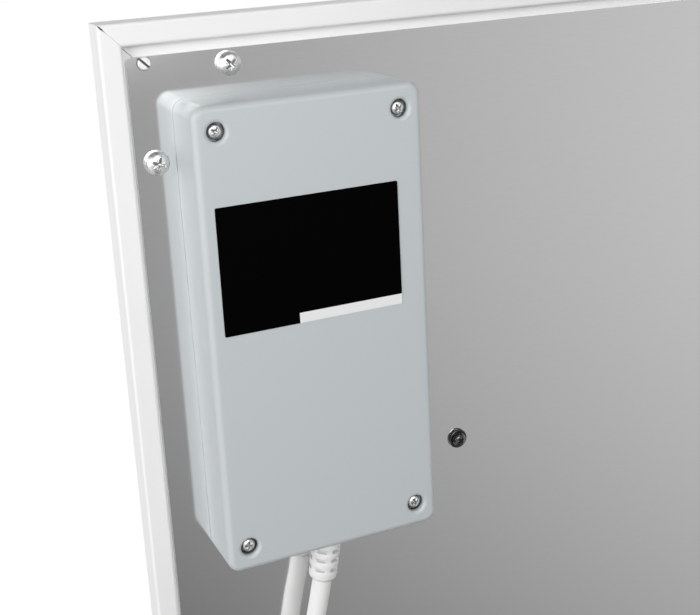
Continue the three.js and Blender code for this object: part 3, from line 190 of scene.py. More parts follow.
def finish(name, color, roughness, metallic=0.0, coat=0.0, specular=0.5):
    """A plain surface, ready for its grain: the material and its node tree."""
    material = bpy.data.materials.new(name)
    material.use_nodes = True
    shader = material.node_tree.nodes["Principled BSDF"]
    shader.inputs["Base Color"].default_value = (*color, 1)
    shader.inputs["Roughness"].default_value = roughness
    shader.inputs["Metallic"].default_value = metallic
    shader.inputs["Coat Weight"].default_value = coat
    shader.inputs["Specular IOR Level"].default_value = specular
    return material


def noise(material, scale, detail=2.0, stretch=(1, 1, 1)):
    """Noise over the object's own coordinates, its cells about 1 / scale metres wide."""
    nodes, links = material.node_tree.nodes, material.node_tree.links
    where = nodes.new("ShaderNodeTexCoord")
    mapping = nodes.new("ShaderNodeMapping")
    mapping.inputs["Scale"].default_value = stretch
    cells = nodes.new("ShaderNodeTexNoise")
    cells.inputs["Scale"].default_value = scale
    cells.inputs["Detail"].default_value = detail
    links.new(where.outputs["Object"], mapping.inputs["Vector"])
    links.new(mapping.outputs["Vector"], cells.inputs["Vector"])
    return cells.outputs["Fac"]


def shader_of(material):
    """The node that holds the material's colour and gloss."""
    return material.node_tree.nodes["Principled BSDF"]


def emboss(material, height, depth, strength=1.0):
    """Bumps of the given depth in metres, laid over those that the surface has already."""
    nodes, links = material.node_tree.nodes, material.node_tree.links
    bump = nodes.new("ShaderNodeBump")
    bump.inputs["Distance"].default_value = depth
    bump.inputs["Strength"].default_value = strength
    normal = shader_of(material).inputs["Normal"]
    if normal.is_linked:
        links.new(normal.links[0].from_socket, bump.inputs["Normal"])
    links.new(height, bump.inputs["Height"])
    links.new(bump.outputs["Normal"], normal)


def paint_hollow_shade(material, open_color, shaded_color):
    """Painted shade in a recess: the colour darkens with the mesh's own hollow attribute, where less light
    gets in.
    """
    nodes = material.node_tree.nodes
    depth = nodes.new("ShaderNodeAttribute")
    depth.attribute_name = "hollow"
    vary(material, "Base Color", depth.outputs["Fac"], open_color, shaded_color, 0.05, 0.8)


def vary(material, socket, factor, low, high, start=0.3, end=0.7):
    """Lets a value or colour run from low to high as the factor goes from start to end."""
    nodes, links = material.node_tree.nodes, material.node_tree.links
    if np.ndim(low):
        ramp = nodes.new("ShaderNodeValToRGB")
        ramp.color_ramp.elements[0].position = start
        ramp.color_ramp.elements[1].position = end
        ramp.color_ramp.elements[0].color = (*low, 1)
        ramp.color_ramp.elements[1].color = (*high, 1)
        links.new(factor, ramp.inputs["Fac"])
        result = ramp.outputs["Color"]
    else:
        spread = nodes.new("ShaderNodeMapRange")
        settings = {"From Min": start, "From Max": end, "To Min": low, "To Max": high}
        for key, value in settings.items():
            spread.inputs[key].default_value = value
        links.new(factor, spread.inputs["Value"])
        result = spread.outputs["Result"]
    links.new(result, shader_of(material).inputs[socket])


def white_paint():
    """Powder coat: a fine orange peel, and a gloss that wanders a little."""
    paint = finish("white_paint", (0.88, 0.88, 0.877), 0.38)
    vary(paint, "Base Color", noise(paint, 22), (0.872, 0.872, 0.869), (0.888, 0.888, 0.885))
    vary(paint, "Roughness", noise(paint, 60), 0.34, 0.42)
    emboss(paint, noise(paint, 900, 3), 0.00003, 0.25)
    return paint


def plate_metal():
    """Rolled sheet that mirrors softly: a fine grain along X, and faint clouds in its gloss."""
    metal = finish("plate_metal", (0.955, 0.955, 0.955), 0.10, metallic=1.0)
    vary(metal, "Roughness", noise(metal, 12, 4), 0.09, 0.115)
    grain = noise(metal, 2200, 3, (0.06, 1, 1))
    vary(metal, "Base Color", grain, (0.945, 0.945, 0.945), (0.965, 0.965, 0.965))
    emboss(metal, noise(metal, 9, 3), 0.00004, 0.5)
    return metal


def screw_metal():
    """Bright zinc: a worn mirror with fine forming marks, and painted shade in its cross recess."""
    metal = finish("screw_metal", (0.74, 0.74, 0.735), 0.3, metallic=1.0)
    paint_hollow_shade(metal, (0.74, 0.74, 0.735), (0.4, 0.4, 0.4))
    vary(metal, "Roughness", noise(metal, 900, 3), 0.22, 0.42)
    emboss(metal, noise(metal, 1500, 3), 0.00014, 0.6)
    return metal


def turned_metal():
    """The set screws' cut ends: bright, but too rough to mirror, with painted shade in the slot."""
    metal = finish("turned_metal", (0.70, 0.70, 0.695), 0.5, metallic=1.0)
    paint_hollow_shade(metal, (0.70, 0.70, 0.695), (0.15, 0.15, 0.15))
    vary(metal, "Roughness", noise(metal, 900, 3), 0.42, 0.58)
    emboss(metal, noise(metal, 2400, 3), 0.00004, 0.5)
    return metal


def black_metal():
    """Glossy black plating over a metal head, with painted shade in its recess."""
    metal = finish("black_metal", (0.055, 0.055, 0.057), 0.14, metallic=1.0, coat=1.0)
    paint_hollow_shade(metal, (0.055, 0.055, 0.057), (0.025, 0.025, 0.025))
    vary(metal, "Roughness", noise(metal, 1200, 3), 0.12, 0.2)
    emboss(metal, noise(metal, 1500, 3), 0.00001, 0.5)
    return metal


def box_plastic():
    """Moulded blue-grey plastic: a fine spark texture and soft sheen, with painted shade deep in the screw
    wells.
    """
    plastic = finish("box_plastic", (0.545, 0.58, 0.595), 0.42)
    paint_hollow_shade(plastic, (0.545, 0.58, 0.595), (0.09, 0.095, 0.10))
    vary(plastic, "Roughness", noise(plastic, 200, 2), 0.38, 0.47)
    emboss(plastic, noise(plastic, 2200, 2), 0.00002, 0.3)
    return plastic


def white_plastic():
    """Plain moulded white."""
    plastic = finish("base_plastic", (0.74, 0.74, 0.73), 0.5)
    vary(plastic, "Roughness", noise(plastic, 300), 0.44, 0.56)
    emboss(plastic, noise(plastic, 1800), 0.00002, 0.3)
    return plastic


def cord_jacket():
    """White soft jacket: satin, with the faint waviness of the cores under it, and painted shade that greys
    its slots.
    """
    jacket = finish("cord_jacket", (0.82, 0.82, 0.81), 0.42)
    paint_hollow_shade(jacket, (0.82, 0.82, 0.81), (0.62, 0.62, 0.62))
    vary(jacket, "Roughness", noise(jacket, 400), 0.36, 0.48)
    emboss(jacket, noise(jacket, 350, 3), 0.00008, 0.25)
    return jacket


def grained(name, color, roughness, metallic=0.0, cell=0.001, depth=0.00003, spread=0.12):
    """A plain material of a hidden piece: its colour and gloss wander by a share, over a grain."""
    material = finish(name, color, roughness, metallic)
    color = np.array(color)
    low, high = color * (1 - spread), np.minimum(color * (1 + spread), 1)
    vary(material, "Base Color", noise(material, 0.3 / cell, 3), tuple(low), tuple(high))
    vary(material, "Roughness", noise(material, 0.2 / cell), roughness * 0.85, roughness * 1.15)
    emboss(material, noise(material, 1 / cell, 3), depth, 0.5)
    return material


STRIP_FROM_LEFT = 24.5 * MM
STRIP_HEIGHT = 3.4 * MM
FILM_BLACK = (0.001, 0.001, 0.001)
STRIP_WHITE = (0.84, 0.84, 0.84)


def label_film(low):
    """Black film with one plain white strip along its foot, ruled from the label's lower left
    corner: white where x is past the strip's start and z under its height."""
    film = finish("label_film", FILM_BLACK, 0.5, specular=0.01)
    nodes, links = film.node_tree.nodes, film.node_tree.links
    where = nodes.new("ShaderNodeTexCoord")
    split = nodes.new("ShaderNodeSeparateXYZ")
    links.new(where.outputs["Object"], split.inputs["Vector"])

    def beyond(axis, value, operation):
        test = nodes.new("ShaderNodeMath")
        test.operation = operation
        test.inputs[1].default_value = value
        links.new(split.outputs[axis], test.inputs[0])
        return test.outputs["Value"]

    both = nodes.new("ShaderNodeMath")
    both.operation = "MULTIPLY"
    links.new(beyond("X", low[0] + STRIP_FROM_LEFT, "GREATER_THAN"), both.inputs[0])
    links.new(beyond("Z", low[2] + STRIP_HEIGHT, "LESS_THAN"), both.inputs[1])
    ramp = nodes.new("ShaderNodeMix")
    ramp.data_type = "RGBA"
    ramp.inputs["A"].default_value = (*FILM_BLACK, 1)
    ramp.inputs["B"].default_value = (*STRIP_WHITE, 1)
    links.new(both.outputs["Value"], ramp.inputs["Factor"])
    links.new(ramp.outputs["Result"], shader_of(film).inputs["Base Color"])
    vary(film, "Roughness", noise(film, 500, 2), 0.42, 0.58)
    return film


WHITE_PAINT = white_paint()
PLATE_METAL = plate_metal()
SCREW_METAL = screw_metal()
TURNED_METAL = turned_metal()
BLACK_METAL = black_metal()
BOX_PLASTIC = box_plastic()
BASE_PLASTIC = white_plastic()
CORD_JACKET = cord_jacket()
PIN_METAL = grained("pin_metal", (0.72, 0.70, 0.66), 0.22, 1.0, 0.0008, 0.00001, 0.04)
TIE_FABRIC = grained("tie_plastic", (0.02, 0.02, 0.022), 0.75, 0.0, 0.0006, 0.0002)
# What hides inside the box and behind the plate, by the start of its node's name.
INNER_FINISHES = {
    ("corner_key", "mount_rail"): grained("key_steel", (0.60, 0.60, 0.59), 0.35, 1.0, 0.002, 0.00002, 0.06),
    ("heating_board",): grained("carbon_film", (0.035, 0.035, 0.038), 0.5, 0.0, 0.004, 0.00005, 0.2),
    ("insulation_blanket",): grained("mineral_felt", (0.62, 0.58, 0.45), 0.95, 0.0, 0.003, 0.0006, 0.15),
    ("terminal_block", "cable_clamp"): grained("terminal_plastic", (0.70, 0.70, 0.66), 0.45),
    ("thermal_cutout",): grained("cutout_body", (0.10, 0.10, 0.11), 0.4),
    ("lead_grommet",): grained("grey_rubber", (0.12, 0.12, 0.12), 0.7, 0.0, 0.002, 0.0001),
    ("cord_wire_live", "live_wire", "heater_wire_live"): grained("brown_wire", (0.16, 0.06, 0.03), 0.45),
    ("cord_wire_neutral", "heater_wire_neutral"): grained("blue_wire", (0.03, 0.12, 0.42), 0.45),
    ("cord_jacket_end", "strain_relief", "plug_body"): CORD_JACKET,
    ("cord_wire_earth", "earth_wire"): grained("earth_wire", (0.30, 0.42, 0.04), 0.45),
    ("earth_screw", "plug_pin"): PIN_METAL,
    ("clamp_screw", "base_screw"): SCREW_METAL,
    ("box_base",): BASE_PLASTIC,
    ("front_panel",): WHITE_PAINT,
    ("back_plate",): PLATE_METAL,
}

# ---------------------------------------------------------------- pieces


def piece(name, patches, material, replaces=(), sharp=32, hollow=None):
    """Makes one closed mesh of its patches: seams merged, faces out, edges sharper than so many
    degrees kept, and flat faces kept flat beside roundings. Where a piece has a recess, hollow
    says for the points of its first patches how deep they lie in it, from 0 to 1."""
    points, faces, first = [], [], 0
    for patch_points, patch_faces in patches:
        points.append(patch_points)
        faces += [[index + first for index in face] for face in patch_faces]
        first += len(patch_points)
    mesh = bpy.data.meshes.new(name)
    mesh.from_pydata(np.concatenate(points).tolist(), [], faces)
    # The finishes paint shade into recesses by this hollow attribute.
    if hollow is not None:
        depths = np.zeros(first, np.float32)
        depths[: hollow.size] = hollow.ravel()
        mesh.attributes.new("hollow", "FLOAT", "POINT").data.foreach_set("value", depths)
    work = bmesh.new()
    work.from_mesh(mesh)
    bmesh.ops.remove_doubles(work, verts=work.verts, dist=1e-6)
    bmesh.ops.recalc_face_normals(work, faces=work.faces)
    work.to_mesh(mesh)
    work.free()
    mesh.polygons.foreach_set("use_smooth", np.ones(len(mesh.polygons), bool))
    mesh.set_sharp_from_angle(angle=np.radians(sharp))
    mesh.materials.append(material)
    made = bpy.data.objects.new(name, mesh)
    bpy.context.scene.collection.objects.link(made)
    flatten = made.modifiers.new("flat_faces_stay_flat", "WEIGHTED_NORMAL")
    flatten.keep_sharp = True
    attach(made, "root")
    if replaces:
        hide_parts(*replaces)
    return made


BOX_LOW, BOX_HIGH = (np.array(corner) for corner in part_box("box_cover"))
BOX_CENTRE = (BOX_LOW + BOX_HIGH)[[0, 2]] / 2
BOX_SIZE = (BOX_HIGH - BOX_LOW)[[0, 2]]

# ---- cord: its route repeats the part's own, from the strain relief down to the plug

CORD_DIAMETER = 6.6 * MM
CORD_LEAN = 0.165
CORD_HEIGHT = 9.8 * MM
TAIL_TOP = np.array([BOX_CENTRE[0], -CORD_HEIGHT, BOX_LOW[2] - 1.3 * MM])
TAIL_LENGTH = 14.4 * MM
LEAN_ANGLE = np.arctan(CORD_LEAN)
LEAN_WAY = np.array([-np.sin(LEAN_ANGLE), 0, -np.cos(LEAN_ANGLE)])
CORD_EXIT = TAIL_TOP + LEAN_WAY * (TAIL_LENGTH + 0.3 * MM)
LEAD_ROUTE = MM * np.array(
    [
        (0, 0, 0),
        (-1.75, -0.1, -7.6),
        (-3.65, -0.2, -15.1),
        (-5.85, 0, -25.1),
        (-7.45, 0.6, -36.1),
        (-8.3, 1.6, -49.1),
        (-8.5, 2.6, -64.1),
        (-8.5, 3.12, -77.1),
    ]
)
HANK_RUN = 110 * MM
HANK_FOLD_RADIUS = 20 * MM
HANK_STEP = 7.65 * MM
HANK_LAYER = 7.1 * MM
HANK_TURNS = 4.25
HANK_WAIST = 16 * MM
HANK_DROP = 94 * MM
HANK_NEAR_LAYER = 6.6 * MM
HANK_OUTER = HANK_FOLD_RADIUS + HANK_TURNS / 2 * HANK_STEP
HANK_X = CORD_EXIT[0] - 8.5 * MM + HANK_OUTER
HANK_Z = CORD_EXIT[2] - HANK_DROP - HANK_RUN / 2
PLUG_DROP = 55 * MM
PLUG_HEIGHT = 21 * MM
TAIL_ROUTE = [(0.22, -17), (0.5, -27), (0.8, -37), (0.98, -46), (1, -55)]


def hank_route(turns):
    """Points of the hank after so many turns: a run down the left, a fold, a run up the right and
    a fold, a quarter turn each. The loops spiral in along the near layer, climb along the left run
    half-way, and spiral out along the far layer; each run is drawn in at its middle."""
    quarter = np.floor(turns % 1 * 4)
    share = turns % 1 * 4 - quarter
    radius = HANK_FOLD_RADIUS + HANK_STEP * np.abs(turns - HANK_TURNS / 2)
    climb = np.clip((turns - HANK_TURNS / 2) * 4 + 0.5, 0, 1)
    height = HANK_NEAR_LAYER + HANK_LAYER * climb**2 * (3 - 2 * climb)
    drawn_in = HANK_WAIST * (1 - np.cos(2 * PI * share)) / 2
    sideways = np.choose(quarter.astype(int) % 2, [radius - drawn_in, radius * np.cos(PI * share)])
    x = np.where(quarter == 1, -radius * np.cos(PI * share), np.where(quarter == 0, -1, 1) * sideways)
    run = HANK_RUN * (0.5 - share)
    fold = HANK_RUN / 2 + radius * np.sin(PI * share)
    z = np.choose(quarter.astype(int), [run, -fold, -run, fold])
    return np.stack([HANK_X + x, -height, HANK_Z + z], -1)


def cord_path():
    """The cord's centreline: the lead's knots, the hank's turns and the tail's knots as one curve."""
    turns = np.linspace(0, HANK_TURNS - 1e-6, int(HANK_TURNS * 48) + 1)
    hank = hank_route(turns)
    end = hank[-1] - (0, 0, CORD_DIAMETER)
    shift = end[1] + PLUG_HEIGHT
    tail = np.array([(0, -share * shift, drop * MM) for share, drop in TAIL_ROUTE]) + end
    knots = np.concatenate([CORD_EXIT + LEAD_ROUTE, hank, tail])
    return smooth_path(knots, 2.2 * MM)


def make_cord():
    """The lead, hank and tail: a circle of the cord's radius carried along its centreline."""
    path = cord_path()
    skin = swept_round(path, CORD_DIAMETER / 2, 20)
    patches = [grid(skin, round_columns=True), lid(skin[0]), lid(skin[-1])]
    solids = ["cord_lead", "cord_hank", "cord_tail"]
    made = piece("mains_cord", patches, CORD_JACKET, solids)
    return made, path


MAINS_CORD, CORD_PATH = make_cord()

# ---- frame bars

RIM_RISE = 3.2 * MM
RIM_WIDTH = 7.0 * MM
FRAME_WALL = 1.4 * MM
LIP_REACH = 20 * MM
LIP_TOP = 1.0 * MM
FRONT = 7.4 * MM
FRONT_LIP = 4.5 * MM


def bar_profile():
    """The extrusion's outline, (inwards from the outer edge, along Y): arcs at its edges, and
    extra points on its flats, because the saw cut at the bar's end isn't straight."""

    def level(start, end, v):
        return np.stack([np.linspace(start, end, 12), np.full(12, v)], -1)

    outer, inner, fillet, front = 0.9 * MM, 1.0 * MM, 0.8 * MM, 0.8 * MM
    inner_v = LIP_TOP - fillet
    under = LIP_TOP + FRAME_WALL
    return np.concatenate(
        [
            arc((outer, -RIM_RISE + outer), outer, 180, 270, 7),
            level(1.2 * MM, 5.6 * MM, -RIM_RISE),
            arc((RIM_WIDTH - inner, -RIM_RISE + inner), inner, 270, 360, 7),
            arc((RIM_WIDTH + fillet, inner_v), fillet, 180, 90, 6),
            level(8.4 * MM, 14 * MM, LIP_TOP),
            [(LIP_REACH, LIP_TOP), (LIP_REACH, under), (FRAME_WALL, under)],
            [(FRAME_WALL, FRONT - FRAME_WALL), (FRONT_LIP, FRONT - FRAME_WALL), (FRONT_LIP, FRONT)],
            arc((front, FRONT - front), front, 90, 180, 6),
        ]
    )


def frame_bar(name, length, outer_edge, turn, node):
    """A bar along its own X whose ends are sawn at 45 degrees. The cuts meet in a hairline that
    gapes in two places, near the outer edge and on the lip: two bell curves over u."""
    u, v = bar_profile().T
    gap = 0.035 * MM + 0.42 * MM * np.exp(-(((u - 0.9 * MM) / (0.5 * MM)) ** 2))
    gap += 0.10 * MM * np.exp(-(((u - 10.0 * MM) / (2.5 * MM)) ** 2))
    half = length / 2 - u - gap
    ends = np.stack([np.stack([side * half, v, outer_edge - u], -1) for side in (-1, 1)])
    cos, sin = np.round(np.cos(turn)), np.round(np.sin(turn))
    x, z = ends[..., 0] * cos + ends[..., 2] * sin, ends[..., 2] * cos - ends[..., 0] * sin
    ends = np.stack([x, ends[..., 1], z], -1)
    patches = [grid(ends, round_columns=True), lid(ends[0]), lid(ends[1])]
    return piece(name, patches, WHITE_PAINT, [node])


PANEL_WIDTH = 755 * MM
PANEL_HEIGHT = 605 * MM
frame_bar("top_bar", PANEL_WIDTH, PANEL_HEIGHT / 2, 0, "frame_top")
frame_bar("bottom_bar", PANEL_WIDTH, PANEL_HEIGHT / 2, PI, "frame_bottom")
frame_bar("left_bar", PANEL_HEIGHT, PANEL_WIDTH / 2, -PI / 2, "frame_left")
frame_bar("right_bar", PANEL_HEIGHT, PANEL_WIDTH / 2, PI / 2, "frame_right")

# ---- junction box cover

COVER_WALL = 2.0 * MM
CORNER_RADIUS = 4.1 * MM
EDGE_RADIUS = 2.0 * MM
DISH_RADIUS = 4.2 * MM
WELL_RADIUS = 2.95 * MM
WELL_DEPTH = 3.4 * MM
BOSS_RADIUS = 4.4 * MM
BOSS_END = BOX_LOW[1] + 5.0 * MM
FACE = BOX_LOW[1]
WELL_SIDES = 48
COVER_SCREWS = [
    (x, z)
    for x in (BOX_LOW[0] + 7.3 * MM, BOX_HIGH[0] - 7.3 * MM)
    for z in (BOX_LOW[2] + 7.9 * MM, BOX_HIGH[2] - 7.9 * MM)
]


def box_ring(inset, y):
    """The box's outline drawn in evenly by the inset, at one height over the plate."""
    return rounded_ring(BOX_CENTRE, BOX_SIZE - 2 * inset, CORNER_RADIUS - inset, y, 12)


def cover_screw_well():
    """A well's profile: a shallow dish that rolls softly over into the straight bore, (radius, y)."""
    roll = DISH_RADIUS - WELL_RADIUS
    middle = np.array([DISH_RADIUS, FACE + roll * 0.75])
    rounding = arc(middle, 1, 270, 180, 8) - middle
    rounding = rounding * (roll, roll * 0.75) + middle
    bore = [(WELL_RADIUS, FACE + WELL_DEPTH * share) for share in (0.5, 0.75, 1)]
    return np.concatenate([rounding, bore])


def make_cover():
    """A shell open to the plate: the outline goes straight up, rolls over a quarter circle and
    closes in a flat face pierced by four wells, over the same outline drawn in by the wall."""
    straight = FACE + EDGE_RADIUS
    edge = arc((EDGE_RADIUS, straight), EDGE_RADIUS, 180, 270, 8)
    outside = np.stack([box_ring(0, BOX_HIGH[1]), *(box_ring(inset, y) for inset, y in edge)])
    inside = np.stack([box_ring(COVER_WALL, y) for y in (BOX_HIGH[1], FACE + COVER_WALL)])
    rim = np.stack([outside[0], inside[0]])
    well = cover_screw_well()
    wells = [turned(well, centre, WELL_SIDES) for centre in COVER_SCREWS]
    bosses = [
        turned([(BOSS_RADIUS, FACE + COVER_WALL), (BOSS_RADIUS, BOSS_END)], centre, WELL_SIDES)
        for centre in COVER_SCREWS
    ]
    # depths paints shade into the wells' bores through the hollow attribute, darker deeper down.
    depths = np.clip((wells[0][..., 1] - FACE) / WELL_DEPTH * 2.5 - 0.9, 0, 1)
    patches = [grid(part, round_columns=True) for part in (*wells, outside, inside, rim, *bosses)]
    patches += [lid(ring[-1]) for ring in (*wells, *bosses)]
    patches += [pierced(outside[-1], [ring[0] for ring in wells])]
    patches += [pierced(inside[-1], [ring[0] for ring in bosses])]
    hollow = np.tile(depths.ravel(), len(wells))
    return piece("cover_shell", patches, BOX_PLASTIC, ["box_cover"], hollow=hollow)


make_cover()

LABEL_LOW, LABEL_HIGH = (np.array(corner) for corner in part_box("cover_label"))
LABEL_FILM = label_film(LABEL_LOW)


def make_label():
    """A thin slab with its front edge rounded by a hair, and corners of half a millimetre."""
    centre, size = (LABEL_LOW + LABEL_HIGH)[[0, 2]] / 2, (LABEL_HIGH - LABEL_LOW)[[0, 2]]
    hair = 0.08 * MM
    insets = [(0, LABEL_HIGH[1]), (0, LABEL_LOW[1] + hair), (hair, LABEL_LOW[1])]
    rings = np.stack([rounded_ring(centre, size - 2 * i, 0.5 * MM - i, y, 4) for i, y in insets])
    patches = [grid(rings, round_columns=True), lid(rings[0]), lid(rings[-1])]
    return piece("bare_label", patches, LABEL_FILM, ["cover_label"])


make_label()

# ---- screws


def cross_recess(x, z, reach, half_width, depth):
    """How deep a cross-shaped pit is at a point: its walls slope over a sixth of a millimetre, its
    floor rises towards the ends of the arms, and four short ticks lie between the arms."""
    slope = 0.16 * MM
    away = np.hypot(x, z)
    arm = np.minimum(half_width - np.abs(z), reach - np.abs(x))
    other = np.minimum(half_width - np.abs(x), reach - np.abs(z))
    inside = np.clip(np.maximum(arm, other) / slope, 0, 1)
    cross = inside * depth * (1 - 0.55 * np.clip(away / reach, 0, 1))
    off_diagonal = np.abs(np.abs(x) - np.abs(z)) / np.sqrt(2)
    tick = np.clip((0.16 * MM - off_diagonal) / (0.1 * MM), 0, 1)
    tick = tick * (away > 0.45 * reach) * (away < 0.95 * reach)
    return np.maximum(cross, tick * 0.12 * MM)


def cross_screw(name, node, radius, profile, material, recess, turn, sides=96):
    """A round head over its seat. The profile is (share of the radius, height) from the middle of
    its top to its seat; the recess is (reach, half width, depth) in millimetres."""
    low, high = (np.array(corner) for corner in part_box(node))
    centre = (low + high)[[0, 2]] / 2
    share, height = np.array(profile).T
    rim = share.argmax() + 1
    fine = np.concatenate([np.linspace(0.02, 1, 44), share[rim:]])
    rise = np.concatenate([np.interp(fine[:44], share[:rim], height[:rim]), height[rim:]]) * MM
    angle = np.arange(sides) / sides * 2 * PI
    x = fine[:, None] * radius * np.cos(angle)
    z = fine[:, None] * radius * np.sin(angle)
    over = np.repeat(rise[:, None], sides, 1)
    pit = np.zeros_like(over)
    pit[:44] = cross_recess(x[:44], z[:44], *(MM * np.array(recess)))
    cos, sin = np.cos(turn), np.sin(turn)
    seat = low[1] + max(height) * MM
    y = seat - over + pit
    skin = np.stack([centre[0] + x * cos - z * sin, y, centre[1] + x * sin + z * cos], -1)
    patches = [grid(skin, round_columns=True), lid(skin[0]), lid(skin[-1])]
    # The pit's depth paints shade into the cross recess through the hollow attribute.
    hollow = np.clip(pit / (0.5 * recess[2] * MM), 0, 1)
    return piece(name, patches, material, [node], sharp=50, hollow=hollow)


def dome(rise, skirt, crown=0.30, steps=9):
    """A pan head's profile: nearly flat over the crown, round to the edge, then a straight skirt."""
    turn = np.linspace(0, PI / 2, steps)
    round_part = [(crown + (1 - crown) * np.sin(t), skirt + (rise - skirt) * np.cos(t)) for t in turn]
    return [(0, rise + 0.03), *round_part, (1, 0), (0.9, 0)]


# A raised dome on a round flange: a quarter ellipse, a groove and a bead.
DOME_TURN = np.linspace(0, PI / 2, 14)
FLANGED_DOME = list(zip(0.735 * np.sin(DOME_TURN), 0.95 + 1.98 * np.cos(DOME_TURN), strict=True))
FLANGED_DOME += [(0.76, 0.80), (0.79, 0.92), (0.84, 1.0), (0.90, 0.99), (0.95, 0.88), (0.985, 0.68)]
FLANGED_DOME += [(1, 0.45), (1, 0), (0.9, 0)]

CORNERS = ("top_left", "top_right", "bottom_left", "bottom_right")
SCREW_TURNS = dict(zip(CORNERS, np.radians((40, 12, 67, 85)), strict=True))
for corner in CORNERS:
    for way, extra in (("level", 0.0), ("upright", 0.5)):
        place = f"{corner}_{way}"
        cross_screw(
            f"pan_screw_{place}",
            f"plate_screw_{place}",
            3.8 * MM,
            dome(2.7, 0.9),
            SCREW_METAL,
            (2.0, 0.42, 1.1),
            SCREW_TURNS[corner] + extra,
        )
    cross_screw(
        f"box_screw_{corner}",
        f"cover_screw_{corner}",
        2.35 * MM,
        dome(1.9, 0.8),
        SCREW_METAL,
        (1.4, 0.32, 0.8),
        SCREW_TURNS[corner] + 0.3,
    )
    cross_screw(
        f"hanger_screw_{corner}",
        f"mounting_screw_{corner}",
        3.5 * MM,
        FLANGED_DOME,
        BLACK_METAL,
        (1.2, 0.32, 0.9),
        SCREW_TURNS[corner],
    )


def slotted_screw(name, node, turn):
    """A set screw's end: a disc ruled into chords along its slot, so that the slot's edges are
    straight, with a small chamfer, and a wall down to the plate. The slot's floor is a shallow V."""
    low, high = (np.array(corner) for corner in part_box(node))
    centre = (low + high)[[0, 2]] / 2
    radius, slot, depth, chamfer = 2.0 * MM, 0.36 * MM, 1.2 * MM, 0.22 * MM
    around = -radius * np.cos(PI * np.linspace(0, 1, 33))
    around = around[np.abs(around) > slot * 1.2]
    across = np.sort(np.concatenate([around, slot * np.array([-1, -0.9, 0, 0.9, 1])]))
    chord = np.sqrt(radius**2 - across**2)
    p = chord[:, None] * np.sin(np.linspace(-1, 1, 33) * PI / 2)[None, :]
    q = np.repeat(across[:, None], 33, 1)
    edge = radius - np.hypot(p, q)
    pit = (np.abs(q) <= slot * 0.91) * (depth - 0.3 * np.abs(q))
    y = low[1] + np.clip(chamfer - edge, 0, None) * 0.8 + pit
    foot = np.full(len(across), max(high[1], low[1] + 2 * depth))
    top = np.stack([p, y, q], -1)
    walls = [np.stack([top[:, k], np.stack([p[:, k], foot, q[:, k]], -1)]) for k in (0, -1)]
    base = np.stack([walls[0][1], walls[1][1]])
    cos, sin = np.cos(turn), np.sin(turn)

    def placed(a):
        x, z = a[..., 0] * cos - a[..., 2] * sin, a[..., 0] * sin + a[..., 2] * cos
        return np.stack([centre[0] + x, a[..., 1], centre[1] + z], -1)

    patches = [grid(placed(part)) for part in (top, *walls, base)]
    # The slot's depth paints shade into the slot through the hollow attribute.
    return piece(name, patches, TURNED_METAL, [node], sharp=40, hollow=pit / depth)


for corner in CORNERS:
    side = -1 if corner.endswith("left") else 1
    up = 1 if corner.startswith("top") else -1
    slotted_screw(f"slotted_screw_{corner}", f"corner_set_screw_{corner}", side * up * PI / 4)

# ---- strain relief: a leaning tail with five slots round it at each of three levels

RELIEF_SLOTS = 5
SLOT_TURN = np.radians(34)
SLOT_LEVELS = (3.1 * MM, 6.5 * MM, 9.9 * MM)
SLOT_HEIGHT = 1.15 * MM
SLOT_DEPTH = 1.15 * MM


def make_strain_relief():
    """Radius over (drop, angle): a straight taper, a little fuller between the levels, minus the
    slots, each a soft-edged box in height and angle. The end rolls over onto the cord."""
    drop = np.concatenate([np.linspace(0, 13.0, 110), np.linspace(13.1, 14.4, 14)]) * MM
    sides = 120
    angle = np.arange(sides) / sides * 2 * PI
    fuller = 0.08 * MM * np.cos(2 * PI * (drop - SLOT_LEVELS[0]) / (SLOT_LEVELS[1] - SLOT_LEVELS[0]))
    taper = 5.02 * MM - 0.025 * drop
    roll = np.clip((drop - 13.1 * MM) / (1.3 * MM), 0, 1)
    body = (taper - fuller) * np.sqrt(1 - roll**2)
    body = np.maximum(body, CORD_DIAMETER / 2 * 0.97)
    away = np.abs(drop[:, None] - np.array(SLOT_LEVELS)).min(1)
    in_height = np.clip((SLOT_HEIGHT / 2 - away) / (0.25 * MM) + 0.5, 0, 1)
    share = (angle - SLOT_TURN) / (2 * PI / RELIEF_SLOTS)
    turn = np.abs(share - np.round(share)) * 360 / RELIEF_SLOTS
    in_angle = np.clip((24 - turn) / 4 + 0.5, 0, 1)
    pit = in_height[:, None] * in_angle
    radius = body[:, None] - SLOT_DEPTH * pit
    across = np.array([-LEAN_WAY[2], 0, LEAN_WAY[0]])
    out = np.sin(angle)[:, None] * across + np.cos(angle)[:, None] * np.array([0, -1, 0])
    skin = TAIL_TOP + drop[:, None, None] * LEAN_WAY + radius[..., None] * out
    patches = [grid(skin, round_columns=True), lid(skin[0]), lid(skin[-1])]
    # The slots' depth, pit, paints shade into the slots through the hollow attribute.
    return piece("ribbed_relief", patches, CORD_JACKET, ["strain_relief"], 60, pit)


make_strain_relief()


def make_relief_flange():
    """A thin round flange against the box, its edges rolled, and the neck and collar that hold it
    in the box's wall."""
    profile = [(0.2, -5.0), (5.1, -5.0), (5.1, -2.2), (4.1, -2.2), (4.1, 0.2), (6.2, 0.2), (6.4, 0.4)]
    profile += [(6.4, 0.9), (6.1, 1.2), (5.0, 1.3), (0.2, 1.3)]
    skin = hung(np.array(profile) * MM, 96, TAIL_TOP + (0, 0, 1.3 * MM))
    patches = [grid(skin, round_columns=True), lid(skin[0]), lid(skin[-1])]
    return piece("relief_flange", patches, CORD_JACKET, ["strain_relief"], 40)


make_relief_flange()

# ---- tie, plug and pins


